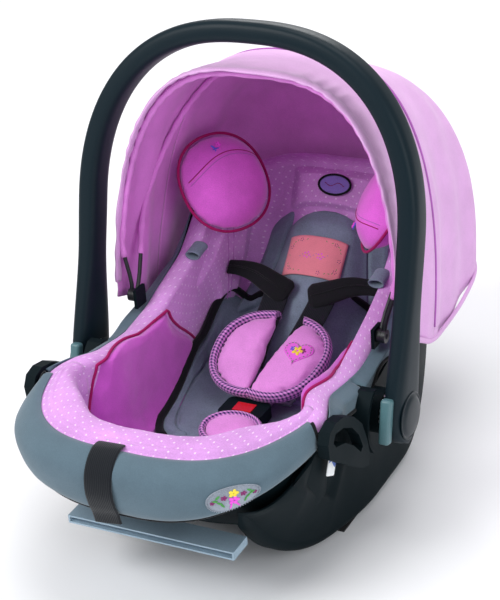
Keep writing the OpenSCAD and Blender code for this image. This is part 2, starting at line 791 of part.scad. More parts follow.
// Blue arrow on a white field, on the side of each rocker
module arrow_marker(side) {
    color("#f2f4f6") at_hub() on_side(side) translate([rocker_half + 6.6, -120, 4])
        rotate([90, 0, 90]) rotate(-28) translate([-10, -17]) square_plate(20, 34, 1);
}
module square_plate(w, h, t) {
    linear_extrude(t) offset(r = 2, $fn = 24) translate([2, 2]) square([w - 4, h - 4]);
}
// Embroidered oval on the foot cover
module foot_patch() {
    a = 30;
    p = rim_point(a, -bumper_out(a) - 1.6, -16);
    color("#9aa2ad") at_hub() translate(p) rotate([0, 0, a * 0.9]) rotate([90, 0, 0])
        scale([1, 0.6, 1]) cylinder(h = 1.5, r = 33, $fn = 48);
}

seat_shell();
rocker(-1);  // rocker_left
rocker(1);  // rocker_right
rest_pads();
foam_liner();
seat_cover();
foot_cover();
hip_panel(-1);  // hip_panel_left
hip_panel(1);  // hip_panel_right
seat_pad();
back_pad();
headrest_pad();
head_bolster(-1);  // head_bolster_left
head_bolster(1);  // head_bolster_right
headrest_badge();
back_patch();
shoulder_strap(-1);  // shoulder_strap_left
shoulder_strap(1);  // shoulder_strap_right
strap_flap(-1);  // strap_flap_left
strap_flap(1);  // strap_flap_right
chest_pad(-1);  // chest_pad_left
chest_pad(1);  // chest_pad_right
crotch_pad();
crotch_strap();
buckle_body();
buckle_button();
buckle_tongue(-1);  // buckle_tongue_left
buckle_tongue(1);  // buckle_tongue_right
adjuster_strap();
adjuster_frame();
adjuster_lever();
rear_yoke();
belt_guide(-1);  // belt_guide_left
belt_guide(1);  // belt_guide_right
hub_mount(-1);  // hub_mount_left
hub_mount(1);  // hub_mount_right
detent_ring(-1);  // detent_ring_left
detent_ring(1);  // detent_ring_right
pivot_pin(-1);  // pivot_pin_left
pivot_pin(1);  // pivot_pin_right
handle_arch();
handle_hub(-1);  // handle_hub_left
handle_hub(1);  // handle_hub_right
hub_cap(-1);  // hub_cap_left
hub_cap(1);  // hub_cap_right
release_button(-1);  // release_button_left
release_button(1);  // release_button_right
canopy_bracket(-1);  // canopy_bracket_left
canopy_bracket(1);  // canopy_bracket_right
front_bow();
rear_bow();
canopy_front_cloth();
canopy_rear_cloth();
document_pocket();
arrow_marker(-1);  // arrow_marker_left
arrow_marker(1);  // arrow_marker_right
foot_patch();
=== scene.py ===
# %% [markdown]
# # An infant car seat, dressed over its CAD frame
# The CAD model gives every part its place: a bucket shell on rockers, a swivelling handle, a folding
# canopy and a harness. This notebook adds what the eye needs: cloth with seams and piping, plump
# pads, moulded plastic and a canopy that falls in folds. Each piece rides on the CAD body that
# carries it, so the seat still works when its joints move, except the hood's cloth, hem and seams,
# which stay where they are made.

# %% Load the frame
import json
import math

import bmesh
import bpy
from mathutils import Matrix, Vector, noise
from mathutils.bvhtree import BVHTree

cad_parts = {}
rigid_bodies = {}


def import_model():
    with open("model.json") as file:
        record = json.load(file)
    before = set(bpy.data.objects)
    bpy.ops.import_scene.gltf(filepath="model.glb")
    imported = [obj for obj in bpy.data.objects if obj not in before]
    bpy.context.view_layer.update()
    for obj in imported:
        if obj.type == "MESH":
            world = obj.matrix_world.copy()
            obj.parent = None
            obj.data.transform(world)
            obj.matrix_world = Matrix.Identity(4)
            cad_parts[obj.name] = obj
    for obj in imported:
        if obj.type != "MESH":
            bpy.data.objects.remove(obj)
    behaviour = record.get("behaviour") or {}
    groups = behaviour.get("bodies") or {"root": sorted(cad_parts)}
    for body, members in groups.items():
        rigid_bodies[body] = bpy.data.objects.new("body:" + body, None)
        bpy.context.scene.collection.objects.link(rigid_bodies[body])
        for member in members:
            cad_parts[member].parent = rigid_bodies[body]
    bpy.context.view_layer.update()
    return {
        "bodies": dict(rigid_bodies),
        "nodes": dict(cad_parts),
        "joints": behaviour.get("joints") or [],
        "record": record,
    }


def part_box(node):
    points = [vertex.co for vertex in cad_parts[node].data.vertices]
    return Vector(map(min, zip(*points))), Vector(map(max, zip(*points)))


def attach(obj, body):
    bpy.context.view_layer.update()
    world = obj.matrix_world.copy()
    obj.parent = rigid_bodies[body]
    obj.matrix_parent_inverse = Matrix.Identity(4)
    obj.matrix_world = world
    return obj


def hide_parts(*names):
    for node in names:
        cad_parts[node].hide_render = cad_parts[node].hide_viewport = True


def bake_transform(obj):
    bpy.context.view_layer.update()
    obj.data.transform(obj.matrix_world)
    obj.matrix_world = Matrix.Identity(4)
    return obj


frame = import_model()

SIDES = ((-1, "left"), (1, "right"))
MERGE = 1e-5
PIN_LOW, PIN_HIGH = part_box("pivot_pin_right")
HUB = Vector((0, (PIN_LOW[1] + PIN_HIGH[1]) / 2, (PIN_LOW[2] + PIN_HIGH[2]) / 2))

# %% [markdown]
# ## Where things are
# A seat is easiest to describe from the axis that its handle turns on, in millimetres: X across,
# -Y to the foot end, +Z up. `hub` turns such a place into metres in the shared frame.


# %% Places and blends
def hub(x, y, z):
    return Vector((x, y, z)) * 0.001 + HUB


def clamp(t, low=0.0, high=1.0):
    return min(high, max(low, t))


def smooth(t):
    t = clamp(t)
    return t * t * (3 - 2 * t)


def mix(a, b, t):
    return a + (b - a) * t


def spow(v, p):
    return math.copysign(abs(v) ** p, v)


def along(points, t):
    """A place at share t of a smooth line through a few points, spaced evenly in t."""
    last = len(points) - 1
    k = min(last - 1, int(clamp(t) * last))
    f = clamp(t) * last - k
    p0, p1, p2, p3 = (points[clamp(k + i, 0, last)] for i in (-1, 0, 1, 2))
    return tuple(
        0.5 * (2 * b + (c - a) * f + (2 * a - 5 * b + 4 * c - d) * f * f + (3 * b - a - 3 * c + d) * f**3)
        for a, b, c, d in zip(p0, p1, p2, p3)
    )


# %% [markdown]
# ## Camera, floor and light
# A product shot: a long lens looks down on the seat from its foot end and a little to its right
# side, and big soft lights leave broad highlights on the black plastic.

# %% Camera
ORBIT, ELEVATION, ROLL = map(math.radians, (28.5, 27.12, -4.666))
DISTANCE = 2.0641
SENSOR = 36.0
LENS = 107.94
AIM = hub(9.7, 24.6, 99.3)

level = math.cos(ELEVATION)
back = Vector((math.sin(ORBIT) * level, -math.cos(ORBIT) * level, math.sin(ELEVATION)))
right = Vector((math.cos(ORBIT), math.sin(ORBIT), 0))
up = back.cross(right)
right, up = right * math.cos(ROLL) + up * math.sin(ROLL), up * math.cos(ROLL) - right * math.sin(ROLL)
camera = bpy.data.objects.new("camera", bpy.data.cameras.new("camera"))
camera.data.lens = LENS
camera.data.sensor_width = SENSOR
turned = Matrix((right, up, back)).transposed().to_4x4()
camera.matrix_world = Matrix.Translation(AIM + back * DISTANCE) @ turned
bpy.context.scene.collection.objects.link(camera)
bpy.context.scene.camera = camera
print("camera at", camera.matrix_world.translation)


# %% Lights
def area_light(name, place, size, power, colour=(1, 1, 1)):
    lamp = bpy.data.lights.new(name, "AREA")
    lamp.size = size
    lamp.energy = power
    lamp.color = colour
    made = bpy.data.objects.new(name, lamp)
    made.location = place
    made.rotation_euler = (AIM - Vector(place)).to_track_quat("-Z", "Y").to_euler()
    bpy.context.scene.collection.objects.link(made)


area_light("key", (-1.5, -1.9, 2.3), 1.6, 62)
area_light("fill", (2.4, -1.3, 1.3), 1.8, 26, (0.93, 0.97, 1))
area_light("top", (0.2, 0.5, 2.8), 1.8, 34)
area_light("rim", (-0.8, 2.4, 1.5), 1.2, 18)

world = bpy.data.worlds.new("studio")
world.use_nodes = True
sky = world.node_tree.nodes["Background"].inputs
sky["Color"].default_value = (0.96, 0.97, 1, 1)
sky["Strength"].default_value = 0.5
bpy.context.scene.world = world
bpy.context.scene.view_settings.view_transform = "Standard"

# %% [markdown]
# ## Finishes
# Real cloth is never one flat colour: its threads, slubs and soft creases catch the light. Every
# cloth here is a base colour with a fine thread noise, a broad mottling and a bump. Threads on such
# a cover are about half a millimetre apart, too fine to show, so they are drawn near 1.5 mm.


# %% Colours and nodes
def linear(code):
    """An sRGB hex colour as the linear values that a shader needs."""
    values = [int(code[i : i + 2], 16) / 255 for i in (1, 3, 5)]
    return (*[v / 12.92 if v <= 0.04045 else ((v + 0.055) / 1.055) ** 2.4 for v in values], 1)


def node(tree, kind, inputs, **settings):
    """Adds one node, sets it up and links or fills its inputs."""
    made = tree.nodes.new("ShaderNode" + kind)
    for key, value in settings.items():
        setattr(made, key, value)
    for key, value in inputs.items():
        if isinstance(value, bpy.types.NodeSocket):
            tree.links.new(value, made.inputs[key])
        else:
            made.inputs[key].default_value = value
    return made


def new_material(name, roughness, **sockets):
    made = bpy.data.materials.new(name)
    made.use_nodes = True
    shader = made.node_tree.nodes["Principled BSDF"]
    shader.inputs["Roughness"].default_value = roughness
    for key, value in sockets.items():
        shader.inputs[key.replace("_", " ")].default_value = value
    return made, made.node_tree, shader


# %% Cloth
def cloth(name, colour, thread=1.5, bump=0.35, mottle=0.16, sheen=0.25, pattern=None, marks=None):
    """Woven cotton or polyester. pattern is dots, checks or ribs, and marks is its second colour."""
    made, tree, shader = new_material(name, 0.88, Sheen_Weight=sheen, Sheen_Roughness=0.45,
                                      Specular_IOR_Level=0.2)
    place = node(tree, "TexCoord", {}).outputs["Object"]
    threads = node(tree, "TexNoise", {"Vector": place, "Scale": 1000 / thread, "Detail": 3.0,
                                      "Roughness": 0.7})
    broad = node(tree, "TexNoise", {"Vector": place, "Scale": 22.0, "Detail": 4.0, "Roughness": 0.6})
    both = node(tree, "Math", {0: threads.outputs["Fac"], 1: broad.outputs["Fac"]}, operation="ADD")
    amount = node(tree, "MapRange", {"Value": both.outputs[0], "From Min": 0.6, "From Max": 1.4})
    base = linear(colour)
    dark = (*[c * (1 - mottle * 1.5) for c in base[:3]], 1)
    light = (*[min(1, c * (1 + mottle)) for c in base[:3]], 1)
    tint = node(tree, "Mix", {0: amount.outputs[0], 6: dark, 7: light}, data_type="RGBA").outputs[2]
    height = threads.outputs["Fac"]
    if pattern:
        across = node(tree, "UVMap", {}, uv_map="cloth").outputs["UV"]
        tint, height = PATTERNS[pattern](tree, across, tint, height, linear(marks))
    relief = node(tree, "Bump", {"Height": height, "Strength": bump, "Distance": 0.0006})
    tree.links.new(relief.outputs["Normal"], shader.inputs["Normal"])
    tree.links.new(tint, shader.inputs["Base Color"])
    return made


DOT_GAP, CHECK, RIB = 0.01, 0.0048, 0.0022


def paint(tree, amount, tint, marks):
    return node(tree, "Mix", {0: amount, 6: tint, 7: marks}, data_type="RGBA").outputs[2]


def waves(tree, across, axis, length):
    """A sine wave along one axis of the cloth."""
    parts = node(tree, "SeparateXYZ", {"Vector": across})
    wave = node(tree, "Math", {0: parts.outputs[axis], 1: 2 * math.pi / length}, operation="MULTIPLY")
    return node(tree, "Math", {0: wave.outputs[0]}, operation="SINE").outputs[0]


def dots(tree, across, tint, height, marks):
    """Small printed dots, 10 mm apart in slanting rows."""
    turned = node(tree, "Mapping", {"Vector": across, "Rotation": (0, 0, math.radians(45)),
                                    "Scale": (1 / DOT_GAP,) * 3})
    cells = node(tree, "TexVoronoi", {"Vector": turned.outputs[0], "Scale": 1.0, "Randomness": 0.0},
                 voronoi_dimensions="2D")
    dot = node(tree, "MapRange", {"Value": cells.outputs["Distance"], "From Min": 0.14, "From Max": 0.07})
    return paint(tree, dot.outputs[0], tint, marks), height


def checks(tree, across, tint, height, marks):
    """Gingham: two sets of stripes, so that squares are pale, half dark or dark."""
    stripes = []
    for axis in (0, 1):
        sine = waves(tree, across, axis, CHECK)
        stripes.append(node(tree, "Math", {0: sine, 1: 0.0}, operation="GREATER_THAN").outputs[0])
    total = node(tree, "Math", {0: stripes[0], 1: stripes[1]}, operation="ADD")
    share = node(tree, "MapRange", {"Value": total.outputs[0], "From Max": 2.0})
    return paint(tree, share.outputs[0], tint, marks), height


def ribs(tree, across, tint, height, marks):
    """Woven strap: fine ribs across it."""
    sine = waves(tree, across, 1, RIB)
    grooves = node(tree, "MapRange", {"Value": sine, "From Min": -1.0, "To Max": 1.6})
    mixed = node(tree, "Math", {0: grooves.outputs[0], 1: height}, operation="ADD")
    faint = node(tree, "MapRange", {"Value": sine, "From Min": -1.0, "To Max": 0.35})
    return paint(tree, faint.outputs[0], tint, marks), mixed.outputs[0]


PATTERNS = {"dots": dots, "checks": checks, "ribs": ribs}

# %% The cloths of this seat
DOTTED = cloth("dotted_cotton", "#d59adc", pattern="dots", marks="#ecd3f0")
CANOPY = cloth("canopy_poplin", "#e2afe2", thread=1.2, bump=0.25, mottle=0.1)
# The hood's inside: the canopy poplin drawn darker and more saturated, painted shade and light shining
# through the thin cloth.
SHADED_CANOPY_POPLIN = cloth("canopy_poplin_painted_shade", "#e08adc", thread=1.2, bump=0.25, mottle=0.12)
DEEP_PINK = cloth("deep_pink_velour", "#c95cc6", thread=1.3, bump=0.3, sheen=0.5)
HEAD_PINK = cloth("bright_pink_velour", "#e76cdc", thread=1.3, bump=0.3, sheen=0.5)
PAD_PINK = cloth("pad_pink_velour", "#e393dd", thread=1.3, bump=0.25, sheen=0.4)
GREY = cloth("grey_jersey", "#7a8898", thread=1.6, bump=0.45, mottle=0.26)
BUMPER_GREY = cloth("grey_stretch_jersey", "#586c78", thread=1.3, bump=0.25, mottle=0.12)
PIPING = cloth("magenta_satin_piping", "#a3105e", thread=1.1, bump=0.2, sheen=0.1)
BINDING = cloth("black_binding_tape", "#121417", thread=1.2, bump=0.5, mottle=0.4, sheen=0.15)
WEBBING = cloth("black_polyester_webbing", "#0e1218", thread=1.0, bump=0.3, pattern="ribs",
                marks="#1a1f26")
GINGHAM = cloth("gingham_binding", "#e29be0", thread=1.0, bump=0.3, pattern="checks", marks="#231a55")
THREAD_PINK = cloth("seam_thread_pink", "#b86cbd", thread=0.8, bump=0.3)
LAVENDER = cloth("embroidered_lavender_satin", "#8f7bc9", thread=0.9, bump=0.7, mottle=0.2)
SALMON = cloth("woven_salmon_satin", "#f0909b", thread=0.9, bump=0.4, mottle=0.12)
PATCH_GREY = cloth("embroidered_grey_felt", "#98a0ac", thread=0.9, bump=0.9, mottle=0.35)
print(len(bpy.data.materials), "materials so far")


# %% Plastics and metals
def plastic(name, colour, roughness, grain=1.6, depth=0.25, **sockets):
    """Moulded plastic: a fine texture that is cut into the mould, and slight unevenness in its gloss."""
    made, tree, shader = new_material(name, roughness, **sockets)
    place = node(tree, "TexCoord", {}).outputs["Object"]
    grainy = node(tree, "TexNoise", {"Vector": place, "Scale": 1000 / grain, "Detail": 2.0})
    cloudy = node(tree, "TexNoise", {"Vector": place, "Scale": 9.0, "Detail": 3.0})
    gloss = node(tree, "MapRange", {"Value": cloudy.outputs["Fac"], "From Min": 0.3, "From Max": 0.7,
                                    "To Min": roughness * 0.85, "To Max": roughness * 1.15})
    relief = node(tree, "Bump", {"Height": grainy.outputs["Fac"], "Strength": depth, "Distance": 0.0003})
    base = linear(colour)
    pale = (*[min(1, c * 1.25 + 0.002) for c in base[:3]], 1)
    tint = node(tree, "Mix", {0: grainy.outputs["Fac"], 6: base, 7: pale}, data_type="RGBA")
    tree.links.new(tint.outputs[2], shader.inputs["Base Color"])
    tree.links.new(gloss.outputs[0], shader.inputs["Roughness"])
    tree.links.new(relief.outputs["Normal"], shader.inputs["Normal"])
    return made


SHELL = plastic("moulded_polypropylene", "#0a1519", 0.55, Specular_IOR_Level=0.06)
HANDLE = plastic("satin_polypropylene", "#0d1c23", 0.42, depth=0.15, Specular_IOR_Level=0.14)
CAP = plastic("satin_cap_polypropylene", "#0d1a21", 0.42, depth=0.15, Specular_IOR_Level=0.3)
BUTTON = plastic("grey_green_abs", "#486a70", 0.36, depth=0.12)
RED = plastic("gloss_red_abs", "#c0161c", 0.2, depth=0.05, Coat_Weight=0.4)
RUBBER = plastic("rubber_feet", "#1d1d1f", 0.75)
WHITE_FILM = plastic("printed_white_film", "#e8ecee", 0.35, depth=0.05)
BLUE_INK = plastic("blue_printing_ink", "#3d62b5", 0.4, depth=0.05)
FOAM = plastic("expanded_polystyrene", "#e6e6e0", 0.8, grain=4.0, depth=0.6)
STEEL = plastic("zinc_plated_steel", "#b4b8bc", 0.32, grain=0.8, depth=0.1, Metallic=1.0)
WIRE = plastic("black_coated_wire", "#0d1216", 0.45)
VINYL = plastic("clear_vinyl_sheet", "#9db4c4", 0.22, depth=0.1, Transmission_Weight=0.15, Alpha=0.9)
GREEN_THREAD = plastic("green_rayon_thread", "#3f8f3c", 0.5)
PLUM_THREAD = plastic("plum_rayon_thread", "#7d1f63", 0.5)
PINK_THREAD = plastic("pink_rayon_thread", "#e24fd2", 0.5)
YELLOW_THREAD = plastic("yellow_rayon_thread", "#e6cf3a", 0.5)
BLUE_THREAD = plastic("blue_rayon_thread", "#4657c8", 0.5)

# %% [markdown]
# ## Making pieces
# Cloth over a seat is a surface that has been bent, so most pieces start as a flat bmesh grid whose
# corners are moved to where a small function says. The grid's own squares, measured in metres, stay
# with it as the UV map "cloth", so a printed or woven pattern follows the surface.


# %% Grid, tube and finishing helpers
def make_grid(columns, rows, place):
    """A grid on which place(u, v) moves each corner, with its cloth coordinates in metres."""
    spots = [[place(i / columns, j / rows) for j in range(rows + 1)] for i in range(columns + 1)]
    across = [[0.0] * (rows + 1) for _ in spots]
    down = [[0.0] * (rows + 1) for _ in spots]
    for i, column in enumerate(spots):
        for j, spot in enumerate(column):
            if i:
                across[i][j] = across[i - 1][j] + (spot - spots[i - 1][j]).length
            if j:
                down[i][j] = down[i][j - 1] + (spot - column[j - 1]).length
    bm = bmesh.new()
    bmesh.ops.create_grid(bm, x_segments=columns, y_segments=rows, size=0.5)
    layer = bm.loops.layers.uv.new("cloth")
    where = {
        vert: (round((vert.co.x + 0.5) * columns), round((vert.co.y + 0.5) * rows)) for vert in bm.verts
    }
    for vert, (i, j) in where.items():
        middle = across[columns // 2][j]
        for loop in vert.link_loops:
            loop[layer].uv = (across[i][j] - middle, down[i][j])
        vert.co = spots[i][j]
    return bm


def close(bm):
    """Merges a wrapped grid's seam, fills its open ends and turns its faces outwards."""
    bmesh.ops.remove_doubles(bm, verts=bm.verts, dist=MERGE)
    rims = [edge for edge in bm.edges if edge.is_boundary]
    if rims:
        bmesh.ops.holes_fill(bm, edges=rims, sides=0)
    bmesh.ops.recalc_face_normals(bm, faces=bm.faces)
    return bm


def put(bm, name, materials, body="seat", replaces=(), flip=False):
    """Turns a bmesh into a finished piece that rides on a body."""
    if flip:
        bmesh.ops.reverse_faces(bm, faces=bm.faces)
    mesh = bpy.data.meshes.new(name)
    bm.to_mesh(mesh)
    bm.free()
    mesh.polygons.foreach_set("use_smooth", [True] * len(mesh.polygons))
    for material in materials if isinstance(materials, (list, tuple)) else [materials]:
        mesh.materials.append(material)
    made = bpy.data.objects.new(name, mesh)
    bpy.context.scene.collection.objects.link(made)
    if replaces:
        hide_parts(*replaces)
    if body:
        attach(made, body)
    return made


def thicken(piece, millimetres, inner_slot=0):
    """Gives a sheet its real thickness. The last argument is the material slot of the new side; the hood puts
    a darker copy of its cloth there, painted shade and light shining through.
    """
    wall = piece.modifiers.new("thickness", "SOLIDIFY")
    wall.thickness = millimetres / 1000
    wall.offset = -1.0
    wall.material_offset = inner_slot


def lining_sheet(name, columns, rows, place, material, node_name, up=True):
    """An open sheet around the bucket. Its lowest face looks up, or down for the shell."""
    bm = make_grid(columns, rows, place)
    bmesh.ops.remove_doubles(bm, verts=bm.verts, dist=MERGE)
    bmesh.ops.recalc_face_normals(bm, faces=bm.faces)
    lowest = min(bm.faces, key=lambda face: face.calc_center_median().z)
    return put(bm, name, material, replaces=[node_name], flip=(lowest.normal.z < 0) == up)


def ripple(x, y, z, scale, seed=0.0):
    """Soft noise between about -1 and 1. scale is the size of a wave in millimetres."""
    return noise.noise(Vector((x / scale + seed, y / scale - seed, z / scale + 2 * seed)))


def tube(name, path, across, material, depth=None, steps=120, sides=10, loop=False,
         lean=(0.0, 0.0, 1.0), body="seat", swell=None, square=1.0, replaces=()):
    """A round or flat tube along path(t), in hub millimetres. across and depth are its full sizes."""
    depth = depth or across
    step = 0.5 / steps

    def ring(t, turn):
        here = Vector(path(t))
        ahead = Vector(path((t + step) % 1 if loop else min(1, t + step)))
        behind = Vector(path((t - step) % 1 if loop else max(0, t - step)))
        forward = (ahead - behind).normalized()
        side = forward.cross(Vector(lean(t) if callable(lean) else lean)).normalized()
        outward = side.cross(forward)
        grow = swell(t) if swell else 1.0
        angle = 2 * math.pi * turn
        wide, high = spow(math.cos(angle), square), spow(math.sin(angle), square)
        return hub(*(here + (side * wide * across + outward * high * depth) * grow / 2))

    bm = make_grid(steps, sides, ring)
    return put(close(bm), name, material, body, replaces)


def lathe(name, profile, centre, side, material, body, replaces=(), steps=72):
    """Spins a profile of (distance out, radius) about the X axis through centre, in hub millimetres."""
    bm = bmesh.new()
    corners = [
        bm.verts.new(hub(centre[0] + side * out, centre[1] + radius, centre[2])) for out, radius in profile
    ]
    edges = [bm.edges.new(pair) for pair in zip(corners, corners[1:])]
    bmesh.ops.spin(bm, geom=corners + edges, cent=hub(*centre), axis=(1, 0, 0), dvec=(0, 0, 0),
                   angle=2 * math.pi, steps=steps, use_merge=True)
    return put(close(bm), name, material, body, replaces)


# %% [markdown]
# ## The bucket's shape
# One function, `bowl`, gives any place on the bucket: an angle around it (0 at the foot, 90 at +X,
# 180 at the head), a depth from rim to floor and a level inwards from the shell's outside. The
# shell, the cover and every pad on them use it, so they nest as the real layers do.

# %% Bucket
RIM_HALF, FOOT_FLARE = 148.0, 26.0
FOOT_REACH, HEAD_REACH = 268.0, 335.0
PAN_DEPTH, PAN_Y, PAN_HALF_L, PAN_HALF_W = 92.0, -27.0, 122.0, 112.0
SHELL_WALL, RIM_ROLL = 3.5, 10.0
COVER_IN, COVER_OUT, PAD_IN, PAD_OUT = 16.3, 25.3, 26.7, 35.7
ROCKER_HALF, TOE_Y, HEEL_Y = 165.0, -228.0, 250.0


def rim_half(y):
    return RIM_HALF + FOOT_FLARE * smooth((-y - 60) / 80) + 6 * smooth((y - 120) / 120)


def cover_top(y):
    if y < 7:
        t = (7 - y) / 275
        return 47 + 15 * min(1, (math.sqrt(t * t + 0.01) - 0.1) / 0.3)
    t = (y - 7) / 320
    wing = 30 * max(0, 1 - ((y - 228) / 90) ** 2) ** 2
    return 47 + 103 * (math.sqrt(t * t + 0.01) - 0.1) / 0.905 + wing


def rim_xy(a, e):
    c, s = math.cos(math.radians(a)), math.sin(math.radians(a))
    power = 2 / (3 if c >= 0 else 4)
    reach = FOOT_REACH if c >= 0 else HEAD_REACH
    y = -(reach - e) * spow(c, power)
    return (rim_half(y) - e) * spow(s, power), y


def rim(a, e, dz):
    x, y = rim_xy(a, e)
    return x, y, cover_top(rim_xy(a, 0)[1]) - RIM_ROLL + dz


def bowl(a, s, e):
    s = clamp(s)
    c, sine = math.cos(math.radians(a)), math.sin(math.radians(a))
    power = mix(1.15, 3.2, abs(sine) ** (3.5 if c > 0 else 1.5))
    g = math.cos(math.pi / 2 * s) ** (2 / power) if s < 1 else 0.0
    h = math.sin(math.pi / 2 * s) ** (2 / power)
    rx, ry = rim_xy(a, e)
    fx = (PAN_HALF_W - e) * spow(sine, 0.8)
    fy = PAN_Y - (PAN_HALF_L - e) * spow(c, 0.8)
    top = cover_top(rim_xy(a, 0)[1]) - RIM_ROLL
    return mix(fx, rx, g), mix(fy, ry, g), mix(top, -PAN_DEPTH + e, h)


def basin(a, s, e):
    """As bowl, and from s = 1 to 2 on over the flat floor to its middle."""
    if s <= 1:
        return bowl(a, s, e)
    x, y, z = bowl(a, 1, e)
    return mix(x, 0, s - 1), mix(y, PAN_Y, s - 1), z


def flange(a):
    side = max(4, ROCKER_HALF + 1 - rim_half(rim_xy(a, 0)[1]))
    return mix(6, side - 1, abs(math.sin(math.radians(a))) ** 6)


# %% [markdown]
# ## Shell
# The shell is injection moulded: one wall, 3.5 mm thick, with a flange around its rim. A sheet is
# wrapped around the bucket and given its wall with a Solidify modifier.

# %% Shell
def shell_skin(u, v):
    a = 360 * u
    if v < 0.1:
        t = v / 0.1
        return hub(*rim(a, -flange(a) * (1 - t), mix(-12, -5, smooth(t * 2.5))))
    return hub(*basin(a, (v - 0.1) / 0.9 * 2, 0))


shell = lining_sheet("shell_moulding", 180, 90, shell_skin, SHELL, "seat_shell", up=False)
thicken(shell, SHELL_WALL)
print("shell", len(shell.data.polygons), "faces")


# %% [markdown]
# ## Rockers
# Each side is a curved wall that ends in a tread. Its outside has a shallow recess under the belt
# guide with a crease that runs back to the hub. The section is drawn as one loop and swept along Y.

# %% Rockers
def plan_half(y):
    power, reach = (3, FOOT_REACH) if y < 0 else (4, HEAD_REACH)
    return rim_half(y) * (1 - (abs(y) / reach) ** power) ** (1 / power)


def wall_half(y):
    """Half width of the outside just under the rim: close to the shell at both ends, proud between."""
    return plan_half(y) + mix(9, ROCKER_HALF - RIM_HALF, smooth((230 - abs(y)) / 150))


def recess(y, z):
    """Depth of the side's recess: above one sloping edge and ahead of another."""
    above = (z + 72) * 0.77 + (y + 93) * 0.63
    ahead = -(y + 93) * 0.86 + (z + 72) * 0.5
    return 6.5 * smooth(above / 12) * smooth(ahead / 14) * smooth((y + 215) / 40)


def rocker_section(y):
    d0 = max(0, -75 - y) / (-75 - TOE_Y)
    d1 = max(0, y - 100) / (HEEL_Y - 100)
    bottom = -HUB.z * 1000 + 2 + 118 * d0**2.3 + 112 * d1**1.9
    top_x = min(ROCKER_HALF + 6, wall_half(y))
    low_x = min(top_x, mix(118, ROCKER_HALF, smooth((y - TOE_Y) / 240))) - 14 * smooth((y - 120) / 160)
    top = mix(-2, cover_top(y) - 24, smooth((y - TOE_Y) / 90))
    return top_x, low_x, top, bottom, min(14, (top - bottom) / 3)


# Shares of the rocker's section, all the way round: outside, corner, tread, its edge, inside.
ROCKER_WALL = 4.0
OUTSIDE, CORNER, TREAD, EDGE, TREAD_TOP, INSIDE = 0.5, 0.6, 0.66, 0.7, 0.76, 0.97


def rocker_skin(side):
    wall = ROCKER_WALL

    def place(u, v):
        y = mix(TOE_Y, HEEL_Y, u)
        top_x, low_x, top, bottom, r = rocker_section(y)
        tread = mix(3, 16, smooth(min(y - TOE_Y, HEEL_Y - y) / 110))
        if v < OUTSIDE:
            w = v / OUTSIDE
            x, z = mix(top_x, low_x, w**1.7), mix(top, bottom + r, w)
            x -= recess(y, z)
        elif v < CORNER:
            angle = (v - OUTSIDE) / (CORNER - OUTSIDE) * math.pi / 2
            x, z = low_x - r + r * math.cos(angle), bottom + r - r * math.sin(angle)
        elif v < TREAD:
            x, z = low_x - r - tread * (v - CORNER) / (TREAD - CORNER), bottom
        elif v < EDGE:
            x, z = low_x - r - tread, bottom + wall * (v - TREAD) / (EDGE - TREAD)
        elif v < TREAD_TOP:
            x, z = low_x - r - tread * (TREAD_TOP - v) / (TREAD_TOP - EDGE), bottom + wall
        elif v < INSIDE:
            w = (INSIDE - v) / (INSIDE - TREAD_TOP)
            x, z = mix(top_x, low_x, w**1.7) - wall - 3.5 * w, mix(top, bottom + r, w)
            x -= recess(y, z)
        else:
            x, z = top_x - wall * (1 - v) / (1 - INSIDE), top
        return hub(side * x, y, z)

    return place


for side, label in SIDES:
    bm = close(make_grid(140, 110, rocker_skin(side)))
    piece = put(bm, f"rocker_side_{label}", SHELL, replaces=[f"rocker_{label}"])
    print(piece.name, len(piece.data.polygons), "faces")

# %% [markdown]
# ## Carry handle
# The handle is one moulding: two legs that widen into the hubs and a crown between them. Its
# section is a rounded rectangle, swept along a line that is straight in the legs and a
# superellipse over the crown, and the whole leans back by 14 degrees.

# %% Handle
LEG_X, LEG_H, CROWN_H, HUB_R, LEAN = 202.0, 198.0, 408.0, 33.0, math.radians(14)
LEG_SHARE, GRIP_HALF, GRIP_THICK = 0.3, 19, 13


def handle_line(t):
    """Middle of the handle, from the bottom of the left hub (0) to that of the right one (1)."""
    if t < LEG_SHARE:
        return -LEG_X, mix(-HUB_R, LEG_H, t / LEG_SHARE)
    if t > 1 - LEG_SHARE:
        return LEG_X, mix(-HUB_R, LEG_H, (1 - t) / LEG_SHARE)
    angle = math.pi * (t - LEG_SHARE) / (1 - 2 * LEG_SHARE)
    return -LEG_X * spow(math.cos(angle), 0.8), LEG_H + (CROWN_H - LEG_H) * math.sin(angle) ** (2 / 2.17)


def handle_half_width(h):
    if h < 0:
        return math.sqrt(max(0, HUB_R**2 - h * h))
    return mix(HUB_R, GRIP_HALF, smooth(h / 150))


def handle_skin(u, v):
    x, h = handle_line(u)
    (x0, h0), (x1, h1) = handle_line(max(0, u - 0.002)), handle_line(min(1, u + 0.002))
    forward = Vector((x1 - x0, 0, h1 - h0)).normalized()
    outward = Vector((-forward.z, 0, forward.x))
    angle = 2 * math.pi * v
    thick = mix(12, GRIP_THICK, smooth((h - 100) / (LEG_H - 100)))
    across = handle_half_width(h) * spow(math.cos(angle), 0.55)
    out = thick * spow(math.sin(angle), 0.7)
    place = Vector((x, across, h)) + outward * out
    return hub(*(Matrix.Rotation(-LEAN, 3, "X") @ place))


bm = close(make_grid(260, 40, handle_skin))
handle = put(bm, "handle_moulding", HANDLE, "handle",
             replaces=["handle_arch", "handle_hub_left", "handle_hub_right"])
print("handle", len(handle.data.polygons), "faces")

# %% [markdown]
# Each hub has a round cap in a ring groove, and a sprung grey-green button at its front edge.
# The cap is a turned shape, so its profile is spun; the button is a block with bevelled edges.

